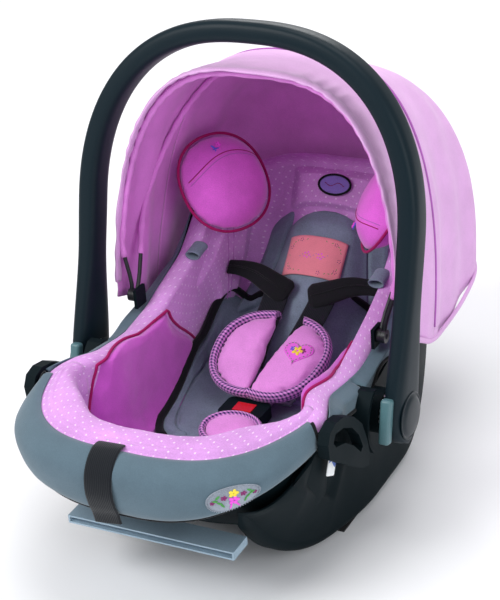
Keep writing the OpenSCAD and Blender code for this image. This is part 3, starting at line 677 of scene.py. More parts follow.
# %% Hub caps and release buttons
for side, label in SIDES:
    x = LEG_X + 12
    profile = [(-1.0, 0), (-1.0, 27), (0.6, 27.6), (1.0, 27), (1.0, 25.6), (0.3, 25), (0.3, 24), (2.2, 22.5),
               (3.6, 18), (4.3, 9), (4.5, 0)]
    lathe(f"hub_cap_disc_{label}", profile, (side * x, 0, 0), side, CAP, "handle",
          replaces=[f"hub_cap_{label}"])
    low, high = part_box(f"release_button_{label}")
    bm = bmesh.new()
    bmesh.ops.create_cube(bm, size=1)
    bmesh.ops.scale(bm, vec=(0.0128, 0.0125, 0.052), verts=bm.verts)
    bmesh.ops.bevel(bm, geom=bm.edges[:], offset=0.0035, offset_type="OFFSET", segments=4, profile=0.5,
                    affect="EDGES", material=-1)
    turn = Matrix.Translation((low + high) / 2) @ Matrix.Rotation(-LEAN, 4, "X")
    bmesh.ops.transform(bm, matrix=turn, verts=bm.verts)
    put(bm, f"release_key_{label}", BUTTON, f"release_button_{label[0]}",
        replaces=[f"release_button_{label}"])
print("caps and buttons made")

# %% [markdown]
# ## Seat cover
# A padded cotton cover, printed with small dots, lines the bucket and rolls over its rim. It is one
# sheet: a half-round roll at the rim, the wall, then the floor. Shallow random creases keep it from
# looking moulded, shallower on the roll than on the wall and the floor.

# %% Cover
ROLL_MIDDLE, ROLL_HALF, ROLL_SHARE = 11.0, 14.2, 0.2


def cover_place(a, v):
    """Cover at share v, from the outside of the roll, over it, down the wall and over the floor."""
    if v < ROLL_SHARE:
        angle = 1.12 * math.pi * (1 - v / ROLL_SHARE)
        across, rise = math.cos(angle), math.sin(angle)
        return rim(a, ROLL_MIDDLE + ROLL_HALF * across, RIM_ROLL * max(-0.25, rise))
    return basin(a, (v - ROLL_SHARE) / (1 - ROLL_SHARE) * 2, COVER_OUT)


def cover_skin(u, v):
    a = 180 + 360 * u
    x, y, z = cover_place(a, v)
    crease = ripple(x, y, z * 0.5, 34) + 0.6 * ripple(x, y * 0.6, z, 15, 3)
    amount = 0.8 if v < ROLL_SHARE else 1.5
    inwards = Vector((-x, -(y - PAN_Y) * 0.5, 30)).normalized()
    return hub(*(Vector((x, y, z)) + inwards * crease * amount))


cover = lining_sheet("cover_dotted", 300, 120, cover_skin, DOTTED, "seat_cover")
thicken(cover, 2.0)
print("cover", len(cover.data.polygons), "faces")

# %% [markdown]
# ## Foot bumper
# The grey stretch cover around the foot end is stuffed, so its outside bulges and its lower edge
# tucks under. Its section is one closed loop through a few places given as (level, height); it
# shrinks towards the ends. A black tape binds its lower edge and both ends.

# %% Bumper
BUMPER_SPAN, BUMPER_END = 66.0, 0.12


def bumper_loop(a):
    share = abs(a) / BUMPER_SPAN
    drop = mix(54, 18, smooth(share))
    out = mix(25, 9, share**4)
    inner = flange(a) + 1.5
    return [
        (7, RIM_ROLL + 0.6), (-1, RIM_ROLL + 2.2), (-out * 0.55, RIM_ROLL - 3), (-out * 0.93, -drop * 0.08),
        (-out, -drop * 0.42), (-out * 0.86, -drop * 0.82), (-out * 0.5, -drop), (-inner - 1, -drop * 0.86),
        (-inner, -drop * 0.4), (-inner, -4), (-3.6, 2), (3, RIM_ROLL - 1.5), (7, RIM_ROLL + 0.6),
    ]


def bumper_place(a, v):
    e, dz = along(bumper_loop(a), v)
    return rim(a, e, dz)


def bumper_skin(u, v):
    a = mix(-BUMPER_SPAN, BUMPER_SPAN, u)
    x, y, z = bumper_place(a, v)
    soft = 0.9 * ripple(x, y, z, 55, 7) + 0.35 * ripple(x, y, z * 2, 18, 2)
    out = Vector((x, y, 0)).normalized()
    return hub(*(Vector((x, y, z)) + out * soft))


bumper = put(close(make_grid(200, 72, bumper_skin)), "bumper_cover", BUMPER_GREY,
             replaces=["foot_cover"])


def bumper_edge(t):
    """Down the end of the bumper, along its lower edge and up the other end."""
    if t < BUMPER_END:
        return bumper_place(-BUMPER_SPAN, mix(0.08, 0.5, t / BUMPER_END))
    if t > 1 - BUMPER_END:
        return bumper_place(BUMPER_SPAN, mix(0.08, 0.5, (1 - t) / BUMPER_END))
    return bumper_place(mix(-BUMPER_SPAN, BUMPER_SPAN, (t - BUMPER_END) / (1 - 2 * BUMPER_END)), 0.5)


tube("bumper_binding", bumper_edge, 4.4, BINDING, steps=220)
print("bumper", len(bumper.data.polygons), "faces")

# %% [markdown]
# ## Canopy
# The hood is one curved sheet of thin poplin, stretched over two wire bows and sewn along the back.
# Its shape is a fan of arches. Each arch has a foot, a crown and a half width, and rows between them
# are smooth. Between the bows the cloth sags a little and falls in folds that start at the feet.

# %% Hood shape
HOOD = [
    (46, 62, 84, 356, 184), (72, 52, 128, 352, 185), (104, 34, 172, 345, 186), (140, 16, 216, 333, 187),
    (190, 14, 262, 317, 187), (245, 20, 306, 297, 187), (300, 32, 338, 272, 182), (334, 44, 355, 238, 158),
    (352, 56, 364, 194, 114), (358, 66, 367, 132, 62), (359, 70, 366, 78, 16),
]
SPLIT = 3


def hood(row, t, inset=0.0):
    """Place on the hood: row 0 is the front hem, and t runs from the left foot over to the right."""
    foot_y, foot_z, top_y, top_z, half = along(HOOD, row / (len(HOOD) - 1))
    c = spow(math.cos(math.pi * t), 2 / 3)
    k = math.sin(math.pi * clamp(t)) ** (2 / 2.4) if 0 < t < 1 else 0.0
    return Vector((-(half - inset) * c, mix(foot_y, top_y, k), mix(foot_z, top_z - inset, k)))


def hood_folds(row, t):
    """How far the cloth stands in from the taut shape, in millimetres."""
    fan = row / 10
    if row < SPLIT:
        between = math.sin(math.pi * clamp(row / SPLIT)) * 3.5
    else:
        between = math.sin(math.pi * clamp((row - SPLIT) / 3.6)) * 6 * (row < 6.6)
    low = abs(math.cos(math.pi * t)) ** 2
    pleats = math.sin(row * 4.2 + 5 * t) * 2.6 * low * smooth(row / 1.2)
    drift = 3.0 * noise.noise(Vector((row * 0.55, t * 7, 1.7)))
    drift += 1.2 * noise.noise(Vector((row * 1.6, t * 16, 5)))
    gather = 1.3 * math.sin(t * 150 + 3 * math.sin(t * 31)) * (1 - smooth(fan * 7))
    return between + pleats + drift * smooth(row / 0.8) + gather


def hood_sheet(first, last):
    def place(u, v):
        row = mix(first, last, v)
        return hub(*hood(row, u, max(0, hood_folds(row, u))))

    return place


# The seam between the two pieces lies in the rear bow's plane, on row SPLIT, and SEAM is its middle.
# BACK_ROW is the row along which the back piping runs.
SEAM = hub(*hood(SPLIT, 0.5))
BACK_ROW = 6.5


# %% Hood panels
bm = make_grid(190, 46, hood_sheet(0, SPLIT))
front_hood = put(bm, "hood_front_panel", [CANOPY, SHADED_CANOPY_POPLIN], None, ["canopy_front_cloth"])
bm = make_grid(190, 96, hood_sheet(SPLIT, 10))
rear_hood = put(bm, "hood_rear_panel", [CANOPY, SHADED_CANOPY_POPLIN], None, ["canopy_rear_cloth"])
for piece in (front_hood, rear_hood):
    crown = max(piece.data.polygons, key=lambda face: face.center.z)
    if crown.normal.z < 0:
        piece.data.flip_normals()
    # The new inner side takes the darker copy of the canopy cloth: painted shade, not a second fabric.
    thicken(piece, 1.2, inner_slot=1)


def fold_front(piece):
    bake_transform(piece)


def fold_rear(piece):
    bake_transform(piece)


fold_front(front_hood)
fold_rear(rear_hood)


# %% Hem, piping and seams of the hood
def hem_line(t):
    p = hood(0, mix(0.012, 0.988, t), 1.5)
    return p.x, p.y + 2, p.z


def gathers(t):
    return 1 + 0.16 * math.sin(t * 150 + 3 * math.sin(t * 31)) + 0.25 * noise.noise(Vector((t * 26, 0.5, 0)))


hem = tube("hood_hem", hem_line, 12, CANOPY, depth=5, steps=420, sides=14, body=None,
           lean=lambda t: Vector((-math.cos(math.pi * t), 0, math.sin(math.pi * t))), swell=gathers)
fold_front(hem)
seam = tube("hood_bow_seam", lambda t: hood(SPLIT, mix(0.01, 0.99, t), -0.6), 2.6, THREAD_PINK,
            steps=200, sides=8, body=None)
fold_rear(seam)
piping = tube("hood_back_piping", lambda t: hood(BACK_ROW, t, -0.8), 3.4, THREAD_PINK,
              steps=220, sides=8, body=None)
fold_rear(piping)
for name, foot in (("hood_skirt_hem", 0.999), ("hood_skirt_hem_left", 0.001)):
    skirt = tube(name, lambda t, foot=foot: hood(mix(0.2, BACK_ROW, t), foot, 0.5), 4, CANOPY,
                 depth=7, steps=100, sides=8, body=None)
    fold_rear(skirt)
print("canopy made")

# %% [markdown]
# The steel bows run inside sewn sleeves, so only a few centimetres of black wire show above the
# pivots. A sleeve is a soft tube around the wire's own line.

# %% Sleeves over the bows
BOW_HALF, BOW_Y, BOW_Z = 178, 50, 66


def bow_line(height, eye, reach, tilt):
    """Middle of a wire that leaves its eye straight up and then widens over the reach."""
    def line(t):
        angle = math.radians(mix(6.5, 173.5, t))
        z = height * math.sin(angle) ** (2 / 2.4)
        side = BOW_HALF * spow(math.cos(angle), 2 / 3)
        x = mix(math.copysign(eye + 2.5, side), side, smooth((z - 6) / reach))
        return x, BOW_Y + z * math.sin(tilt), BOW_Z + z * math.cos(tilt)

    return line


# The sleeves use the same darker copy of the canopy cloth: painted shade under the hood.
for body, height, eye, reach, tilt in (
    ("canopy_front", 284, 162.2, 60, 9), ("canopy_rear", 309, 156.8, 130, 34),
):
    tube(f"{body}_sleeve", bow_line(height, eye, reach, math.radians(tilt)), 7.5, SHADED_CANOPY_POPLIN,
         steps=200, sides=12, body=body, swell=lambda t: 1 + 0.12 * math.sin(t * 190))

# %% [markdown]
# ## Padded panels
# The panels sewn on the cover are soft pads with a rounded edge. `pad` draws one between two sides
# on the bucket. Its edges dip into the cover, so that it looks sewn down, and its middle stands up.


# %% Pad helper
PAD_CLOTH = 2.2


def back(x, s, e):
    """Place on the back half of the bucket at a given x, found by halving the angle's range."""
    low, high = 92.0, 268.0
    for _ in range(20):
        middle = (low + high) / 2
        if basin(middle, s, e)[0] > x:
            low = middle
        else:
            high = middle
    return basin((low + high) / 2, s, e)


def dome(t, edge):
    """0 at both ends of 0..1 and 1 between, rising over a share of the length."""
    return smooth(min(t, 1 - t) / edge) if edge else 1.0


def pad(name, surface, height, material, columns=60, rows=60, edges=(0.2, 0.2), crease=0.8,
        replaces=(), dip=1.5, channel=None):
    """surface(u, v, level) gives the place; level is measured from the cover's face."""
    def place(u, v):
        lift = height * dome(u, edges[0]) * dome(v, edges[1]) - dip
        if channel:
            lift += channel(u, v) * (lift > 1)
        x, y, z = surface(u, v, lift)
        wave = crease * (ripple(x, y * 0.7, z, 26, len(name)) + 0.5 * ripple(x * 1.4, y, z, 11, 4))
        return hub(*surface(u, v, lift + wave * min(1, max(0, lift) / 3)))

    bm = make_grid(columns, rows, place)
    bmesh.ops.recalc_face_normals(bm, faces=bm.faces)
    centre = sum((vert.co for vert in bm.verts), Vector()) / len(bm.verts)
    middle = min(bm.faces, key=lambda face: (face.calc_center_median() - centre).length)
    inwards = hub(0, PAN_Y, 150) - middle.calc_center_median()
    piece = put(bm, name, material, "seat", replaces, flip=middle.normal.dot(inwards) < 0)
    thicken(piece, PAD_CLOTH)


# %% Thigh cushion, hip panels and their piping
# Pairs of places (level, height) of the thigh cushion's section: flat on the cover, and full.
THIGH_SPAN = 72.0
THIGH = [
    ((10, 10), (10, 10)), ((17, 12.6), (19, 13.6)), ((23, 9), (32, 15)), ((25.5, 3), (45, 12)),
    ((26, -6), (51, 0)), ((27, -16), (46, -18)), ((27, -28), (30, -34)),
]


def thigh(u, v, level):
    """Over the roll and down to the wall. Each place goes from flat on the cover to full."""
    a = mix(-THIGH_SPAN, THIGH_SPAN, u)
    full = smooth(1.3 * (1 - (2 * u - 1) ** 2))
    e, dz = along([tuple(mix(f, p, full) for f, p in zip(*pair)) for pair in THIGH], v)
    return rim(a, e + level * 0.4, dz + level)


def dimple(u, v):
    return -1.4 * math.exp(-(((v - 0.2) / 0.04) ** 2))


pad("thigh_cushion", thigh, 2.5, DOTTED, 130, 40, (0.06, 0.1), channel=dimple,
    dip=0.5, crease=1.3)

# Depth s of the hip panel's arched top, from its front corner to its rear one. Below 0 it is on the roll.
HIP_TOP = [(s,) for s in (0.2, 0.12, 0.04, 0, -0.04, -0.13, -0.25, -0.33, -0.38, -0.41, -0.4, -0.28, -0.03,
                          0.1, 0.19, 0.27, 0.34)]
HIP_FRONT, HIP_REAR, HIP_LOW, HIP_END = 70, 99, 0.95, 0.08
for side, label in SIDES:
    def hip(u, v, level, side=side):
        a = side * mix(HIP_FRONT, HIP_REAR, u)
        down = mix(HIP_LOW, along(HIP_TOP, u)[0], v)
        if down >= 0:
            return basin(a, down, COVER_OUT + level)
        over = -down * math.pi
        reach = ROLL_HALF + level
        return rim(a, ROLL_MIDDLE + reach * math.cos(over), (RIM_ROLL + level) * math.sin(over))

    pad(f"hip_cushion_{label}", hip, 8, DEEP_PINK, 60, 60, (0.1, 0.12), crease=1.0,
        replaces=[f"hip_panel_{label}"])

    def hip_edge(t, hip=hip):
        if t < HIP_END:
            return hip(0.0, t / HIP_END, 1.2)
        if t > 1 - HIP_END:
            return hip(1.0, (1 - t) / HIP_END, 1.2)
        return hip((t - HIP_END) / (1 - 2 * HIP_END), 1.0, 1.2)

    tube(f"hip_piping_{label}", hip_edge, 3.6, PIPING, steps=150, sides=8)

# %% [markdown]
# ## Grey inserts
# The lower insert follows the floor and climbs the sides and the back. It has a black binding, and a
# sewn channel runs inside its edge. The upper one lies on the back and passes between the flaps.


# %% Lower insert
def insert_edge(a):
    """Depth s of the lower insert's outline at an angle around the bucket."""
    turn = abs((a + 180) % 360 - 180)
    side = mix(1.0, 0.37, smooth((turn - 82) / 17))
    return side - 0.04 * smooth((turn - 99) / 10) + 0.17 * smooth((turn - 112) / 30)


def lower_insert(u, v):
    a = 360 * u
    edge = insert_edge(a)
    s = mix(edge, 2.0, v)
    inside = (s - edge) / 1.2
    sewn = abs(a - 180) < 98
    lift = 9.5 * smooth(inside / 0.10) - 4.2 * math.exp(-(((inside - 0.27) / 0.022) ** 2)) * sewn
    x, y, z = basin(a, s, COVER_OUT + lift)
    pucker = 1.1 * math.sin(a * 1.1) * math.exp(-(((inside - 0.22) / 0.08) ** 2)) * sewn
    wave = 1.3 * ripple(x, y * 0.6, z, 30, 9) + 0.5 * ripple(x, y, z, 12, 3) + pucker
    return hub(*basin(a, s, COVER_OUT + lift + wave * smooth(inside / 0.06)))


insert = lining_sheet("lower_insert", 240, 70, lower_insert, GREY, "seat_pad")
thicken(insert, PAD_CLOTH)


def insert_rim(t):
    a = mix(82, 278, t)
    return basin(a, insert_edge(a) - 0.01, COVER_OUT + 6)


tube("lower_insert_binding", insert_rim, 11, BINDING, depth=9, steps=240, sides=12,
     lean=(0, 0.3, 1))


# %% Upper insert, its side panels and the headrest
def upper_width(s):
    body = mix(55, 72, smooth((s - 0.30) / 0.25)) - 14 * smooth((s - 0.62) / 0.3)
    return body * math.sqrt(clamp((s - 0.262) / 0.05, 0.02, 1))


def upper(u, v, level):
    s = mix(0.985, 0.262, v)
    return back((2 * u - 1) * upper_width(s), s, COVER_OUT + level + 5)


def tuck(u, v):
    """Two stitched tucks that pull the pad in beside the straps."""
    pull = 0
    for cu, cv in ((0.28, 0.52), (0.72, 0.52)):
        pull -= 5.5 * math.exp(-(((u - cu) / 0.05) ** 2) - ((v - cv) / 0.09) ** 2)
    return pull


pad("upper_insert", upper, 11, GREY, 64, 90, (0.16, 0.06), crease=1.1, replaces=["back_pad"],
    channel=tuck)
for side, label in SIDES:
    def flank(u, v, level, side=side):
        s = mix(0.56, 0.235, v)
        inner = upper_width(max(s, 0.31)) - 5
        outer = mix(112, 84, smooth(v) * 0.9)
        return back(side * mix(inner, outer, u), s, COVER_OUT + level)

    pad(f"flank_panel_{label}", flank, 9, GREY, 24, 50, (0.3, 0.14), crease=0.9)

    def wing(u, v, level, side=side):
        a = 180 - side * mix(mix(72, 84, v), mix(53, 34, v), u)
        s = mix(mix(0.34, 0.46, u), 0.02, v)
        return basin(a, s, COVER_OUT + level)

    pad(f"wing_panel_{label}", wing, 13, DOTTED, 40, 60, (0.25, 0.16), crease=0.9)
    for k in (0.42, 0.52):
        def seam_line(t, k=k, wing=wing):
            return wing(k, mix(0.04, 0.9, t), 11.6)

        tube(f"wing_seam_{label}_{round(k * 100)}", seam_line, 1.1, THREAD_PINK,
             steps=60, sides=6)


def headrest(u, v, level):
    s = mix(0.265, 0.0, v)
    return back(mix(-66, 66, u), s, COVER_OUT + level)


pad("headrest_cushion", headrest, 15, DOTTED, 60, 40, (0.16, 0.2),
    replaces=["headrest_pad"])
print("inserts and headrest made")

# %% [markdown]
# ## Stuffed pieces
# Head bolsters, chest pads and the crotch pad are closed bags with filling. Each starts a little
# small, is remeshed to even cells and blown up by the cloth simulation for twenty frames. A cap on
# how far any point may move keeps it near its CAD solid.


# %% Inflation
PRESSURE, FRAMES = 4.0, 20


def relax(bm):
    bmesh.ops.smooth_vert(bm, verts=bm.verts, factor=0.5, use_axis_x=True, use_axis_y=True, use_axis_z=True)


def inflate(bm, voxel=0.0045, cap=0.007):
    """Remeshes a closed bag and blows it up. No point moves further than cap, in metres."""
    mesh = bpy.data.meshes.new("bag")
    bm.to_mesh(mesh)
    bm.free()
    bag = bpy.data.objects.new("bag", mesh)
    bpy.context.scene.collection.objects.link(bag)
    even = bag.modifiers.new("even", "REMESH")
    even.mode = "VOXEL"
    even.voxel_size = voxel
    graph = bpy.context.evaluated_depsgraph_get()
    bag.data = bpy.data.meshes.new_from_object(bag.evaluated_get(graph))
    bag.modifiers.clear()
    start = [vert.co.copy() for vert in bag.data.vertices]
    blow = bag.modifiers.new("blow", "CLOTH")
    blow.settings.use_pressure = True
    blow.settings.uniform_pressure_force = PRESSURE
    blow.settings.effector_weights.gravity = 0
    for step in range(1, FRAMES + 1):
        bpy.context.scene.frame_set(step)
    graph = bpy.context.evaluated_depsgraph_get()
    blown = bpy.data.meshes.new_from_object(bag.evaluated_get(graph))
    for vert, was in zip(blown.vertices, start):
        move = vert.co - was
        vert.co = was + move * min(1, cap / max(move.length, 1e-9))
    bpy.data.objects.remove(bag)
    bpy.context.scene.frame_set(1)
    made = bmesh.new()
    made.from_mesh(blown)
    for _ in range(3):
        relax(made)
    return made


def stuffed(bm, name, material, node_name):
    """A filled piece: one subdivision rounds what the remesh left."""
    piece = put(bm, name, material, replaces=[node_name])
    rounder = piece.modifiers.new("rounder", "SUBSURF")
    rounder.levels = rounder.render_levels = 1
    return piece


def bag(matrix, outline, thickness, power=0.55, rings=14, steps=72):
    """A closed bag: outline(angle) gives its flat shape, and its faces bulge to the thickness."""
    def place(u, v):
        angle = 2 * math.pi * u
        x, y = outline(angle)
        reach = math.sin(math.pi * v)
        height = spow(math.cos(math.pi * v), power) * thickness / 2
        return hub(*(matrix @ Vector((x * reach, y * reach, height * (1 - reach**6)))))

    return close(make_grid(steps, rings * 2, place))


# %% Embroidery helpers
def blob(bm, matrix, size, sides=10):
    shape = matrix @ Matrix.Diagonal((*[d / 1000 for d in size], 1))
    bmesh.ops.create_uvsphere(bm, u_segments=sides, v_segments=6, radius=1, matrix=shape)


def surface_frame(at, x_axis, normal):
    """A frame in metres on a surface: at and the axes come in hub millimetres."""
    normal = Vector(normal).normalized()
    x_axis = (Vector(x_axis) - normal * Vector(x_axis).dot(normal)).normalized()
    y_axis = normal.cross(x_axis)
    turn = Matrix((x_axis, y_axis, normal)).transposed().to_4x4()
    return Matrix.Translation(hub(*at)) @ turn


def stitch(name, frame_at, marks, material):
    """Thread marks (x, y, turn, length, width) laid on a surface frame, in millimetres."""
    bm = bmesh.new()
    for x, y, turn, long, wide in marks:
        place = frame_at(x, y) @ Matrix.Rotation(math.radians(turn), 4, "Z")
        blob(bm, place, (long / 2, wide / 2, 0.7))
    return put(bm, name, material)


def flower(x, y, radius):
    """Five petals around a point, as marks for stitch."""
    turns = [k * 2 * math.pi / 5 for k in range(5)]
    return [(x + radius * math.cos(w), y + radius * math.sin(w), math.degrees(w), radius * 1.5, radius * 1.1)
            for w in turns]


def flat_at(frame, lift):
    """Places in millimetres on a flat frame, raised by lift metres."""
    return lambda x, y: frame @ Matrix.Translation((x / 1000, y / 1000, lift))


def drop_on(piece, frame_of, direction):
    """A function that drops a place of a frame, in hub millimetres, on to a piece's skin."""
    skin = BVHTree.FromPolygons([vert.co for vert in piece.data.vertices],
                                [face.vertices[:] for face in piece.data.polygons])
    direction = Vector(direction).normalized()

    def on_skin(x, y):
        start = frame_of @ Vector((x, y, 0))
        hit = skin.ray_cast(hub(*start) - direction * 0.12, direction)[0]
        return (hit - HUB) * 1000 if hit else start

    return on_skin


# %% Head bolsters
def bolster_outline(angle):
    return 61 * spow(math.cos(angle), 0.9), 62 * spow(math.sin(angle), 0.9)


for side, label in SIDES:
    turn = Matrix.Rotation(side * math.radians(24), 4, "Z")
    tip = Matrix.Rotation(-side * math.radians(57), 4, "Y")
    frame_of = Matrix.Translation((side * 110, 204, 156)) @ turn @ tip
    bm = inflate(bag(frame_of, bolster_outline, 62, power=0.8, rings=22, steps=96))
    bolster = stuffed(bm, f"bolster_{label}", HEAD_PINK, f"head_bolster_{label}")
    face_up = frame_of.to_3x3() @ Vector((0, 0, 1))
    if face_up.dot(Vector((-side, -0.4, 0.3))) < 0:
        face_up = -face_up
    on_skin = drop_on(bolster, frame_of, -face_up)
    for part, start, width, thread in (("seam", -14, 1.3, PIPING), ("stitch", -9, 0.9, THREAD_PINK)):
        def curve(t, start=start, on_skin=on_skin):
            return on_skin(start - 18 * math.sin(math.pi * t), mix(-54, 54, t))

        tube(f"bolster_{part}_{label}", curve, width, thread, steps=60, sides=6)
    spot, beside = on_skin(-40, -6), on_skin(-34, -6)
    patch = flat_at(surface_frame(spot, beside - spot, face_up), 0.0008)
    stitch(f"bolster_bloom_{label}", patch, flower(-4, 4, 2.6) + flower(4, 3, 2.4), PINK_THREAD)
    stitch(f"bolster_leaf_{label}", patch, [(-3, -4, 40, 8, 2.4), (4, -4, -40, 8, 2.4), (0, -1, 90, 12, 1.6)],
           BLUE_THREAD)
    print(bolster.name, [round(d, 3) for d in bolster.dimensions])

    def bolster_rim(t, frame_of=frame_of):
        x, y = bolster_outline(2 * math.pi * t)
        return frame_of @ Vector((x * 1.02, y * 1.02, 0))

    tube(f"bolster_piping_{label}", bolster_rim, 3.6, PIPING, steps=120, sides=8,
         loop=True)

# %% Chest pads
CHEST = Matrix.Translation(bowl(180, 0.745, PAD_OUT + 22)) @ Matrix.Rotation(math.radians(22), 4, "X")
MOON = 63.0


def half_moon(angle):
    """Half disc with rounded corners, its straight side at x = 0."""
    c, s = math.cos(angle), math.sin(angle)
    return MOON * (spow(c, 0.9) if c > 0 else 0.05 * c) + 3, MOON * spow(s, 0.85)


for side, label in SIDES:
    mirror = Matrix.Diagonal((side, 1, 1, 1))
    lean = Matrix.Rotation(math.radians(4 if side < 0 else -13), 4, "Z")
    at = CHEST @ Matrix.Translation(Vector((side * 6, 0, 6))) @ lean @ mirror
    bm = inflate(bag(at, half_moon, 14, power=0.6), voxel=0.0034, cap=0.004)
    chest = stuffed(bm, f"chest_cushion_{label}", PAD_PINK, f"chest_pad_{label}")
    if side > 0:
        on_chest = drop_on(chest, CHEST, CHEST.to_3x3() @ Vector((0, 0, -1)))

    def moon_rim(t, at=at):
        x, y = half_moon(mix(-0.52, 0.52, t) * math.pi)
        return at @ Vector((x * 0.95 + 1, y * 0.96, 0))

    tube(f"chest_gingham_{label}", moon_rim, 10, GINGHAM, depth=16.5, steps=120, sides=16,
         lean=tuple(CHEST.to_3x3() @ Vector((0, 0, 1))))
print("chest pads made")

# %% Crotch pad
CROTCH = Matrix.Translation((8, -44, -35)) @ Matrix.Rotation(math.radians(6), 4, "X")


def crotch_outline(angle):
    return 35 * math.cos(angle), 29 * math.sin(angle)


bm = inflate(bag(CROTCH, crotch_outline, 17, power=0.7), cap=0.004)
stuffed(bm, "crotch_cushion", PAD_PINK, "crotch_pad")
tube("crotch_gingham", lambda t: CROTCH @ Vector((*crotch_outline(2 * math.pi * t), -2)), 8, GINGHAM,
     depth=13, steps=100, sides=12, loop=True, lean=(0, 0, 1))

# %% [markdown]
# ## Embroidery and labels
# Small sewn pieces give the cover its character: a heart, flowers, plain labels with no lettering.
# Each flower is a ring of satin-stitch petals, and a petal is a small flattened ball of thread.


# %% Back label, badge and tags
def on_back(x, s, level, step):
    """A frame on the seat's back, level above the cover's face. step is how far up it looks."""
    spots = ((x, s), (x, max(0, s - step)), (x + 4, s))
    here, above, beside = (Vector(back(*spot, COVER_OUT + level)) for spot in spots)
    return surface_frame(here, beside - here, (beside - here).cross(above - here))


def back_frame(x, y):
    return on_back(x, 0.405 - y / 410, 17.2, 0.02)


def label_skin(u, v):
    return back_frame(mix(-40, 38, u), mix(-25, 25, v)) @ Vector((0, 0, 0.0006))


label = put(make_grid(24, 16, label_skin), "back_label", SALMON, replaces=["back_patch"])
if label.data.polygons[0].normal.y > 0:
    label.data.flip_normals()
thicken(label, 1.4)
leaves, blooms = [], []
for k in range(26):
    t = 2 * math.pi * k / 26
    x, y = -1 + 33.5 * spow(math.cos(t), 0.45), 20 * spow(math.sin(t), 0.45)
    if k % 4 == 0:
        blooms += flower(x, y, 1.9)
    else:
        leaves.append((x, y, math.degrees(t) + 90 + (35 if k % 2 else -35), 5.0, 1.7))
stitch("label_leaves", back_frame, leaves, GREEN_THREAD)
stitch("label_blooms", back_frame, blooms, PLUM_THREAD)
stitch("label_heart_left", back_frame, flower(-9, 0, 3.4) + flower(9, 0, 3.4), PINK_THREAD)
vine = [(x, 2.5 * math.sin(x / 2.4), 20 * math.cos(x / 2.4), 3.2, 1.1) for x in range(-18, 19, 3)]
stitch("label_vine", back_frame, vine, BLUE_THREAD)


BADGE = on_back(2, 0.125, 15.5, 0.03)


def badge_skin(u, v):
    angle, reach = 2 * math.pi * u, math.sin(math.pi * v)
    return BADGE @ Vector((0.021 * math.cos(angle) * reach, 0.0125 * math.sin(angle) * reach,
                           0.0022 * spow(math.cos(math.pi * v), 0.4)))


put(close(make_grid(48, 16, badge_skin)), "oval_badge", LAVENDER, replaces=["headrest_badge"])


def badge_rim(t):
    p = BADGE @ Vector((0.0215 * math.cos(2 * math.pi * t), 0.013 * math.sin(2 * math.pi * t), 0.0016))
    return (p - HUB) * 1000


tube("oval_badge_rim", badge_rim, 3.0, BINDING, steps=80, sides=8, loop=True)
wave = [(x, 2.2 * math.sin(x / 3.4), 25 * math.cos(x / 3.4), 4, 1.2) for x in range(-12, 13, 3)]
stitch("oval_badge_wave", flat_at(BADGE, 0.0022), wave, PLUM_THREAD)

for side, label_name in SIDES:
    def tag_loop(t, side=side):
        x, y, z = basin(180 - side * 78, 0.0, COVER_OUT - 4)
        turn = math.pi * 2 * t
        return x - side * (4 + 9 * math.cos(turn)), y - 3, z + 8 + 5 * math.sin(turn)

    tube(f"loop_tag_{label_name}", tag_loop, 2.2, GREY, depth=24, steps=40, sides=12, loop=True,
         square=0.5, lean=(0, 1, 0.2))
print("labels made")

# %% Heart on the right chest pad, flowers on the foot patch, arrow on the marker
def chest_frame(x, y):
    p, beside, above = (on_chest(x + dx + 37, y + dy + 4) for dx, dy in ((0, 0), (3, 0), (0, 3)))
    side, rise = beside - p, above - p
    return surface_frame(p, side, side.cross(rise))


def heart(t, size):
    w = 2 * math.pi * t
    y = 13 * math.cos(w) - 5 * math.cos(2 * w) - 2 * math.cos(3 * w) - math.cos(4 * w)
    return size * math.sin(w) ** 3, size * y / 16


def heart_skin(u, v):
    x, y = heart(u, 19)
    reach = math.sin(math.pi * v / 2)
    return chest_frame(x * reach, y * reach) @ Vector((0, 0, 0.0012 * (1 - v**8)))


put(close(make_grid(60, 10, heart_skin)), "heart_patch", HEAD_PINK)
dashes = []
for k in range(30):
    (x0, y0), (x1, y1) = heart(k / 30, 16), heart((k + 0.4) / 30, 16)
    dashes.append((x0, y0, math.degrees(math.atan2(y1 - y0, x1 - x0)), 2.4, 1.0))
lift = Matrix.Translation((0, 0, 0.0012))
for name, marks, thread in (
    ("heart_dashes", dashes, GREEN_THREAD), ("heart_bloom", flower(0, 1, 4.2), YELLOW_THREAD),
    ("heart_bloom_blue", flower(-6.5, 3, 2.2), BLUE_THREAD),
    ("heart_bloom_pink", flower(6.5, 2, 2.4), PLUM_THREAD),
):
    stitch(name, lambda x, y: chest_frame(x, y) @ lift, marks, thread)


def bumper_face(x, y, out=1.4):
    a = 31.5 + x / 3.35
    v = 0.335 - y / 235
    p = Vector(bumper_place(a, v))
    side = Vector(bumper_place(a + 1, v)) - p
    down = Vector(bumper_place(a, v + 0.01)) - p
    normal = down.cross(side).normalized()
    return surface_frame(p + normal * out, side, normal)


def patch_skin(u, v):
    angle, reach = 2 * math.pi * u, math.sin(math.pi * v / 2)
    here = bumper_face(31 * math.cos(angle) * reach, 19 * math.sin(angle) * reach)
    return here @ Vector((0, 0, -0.0016 * (v > 0.95)))


def raised(x, y):
    return bumper_face(x, y, 1.9)


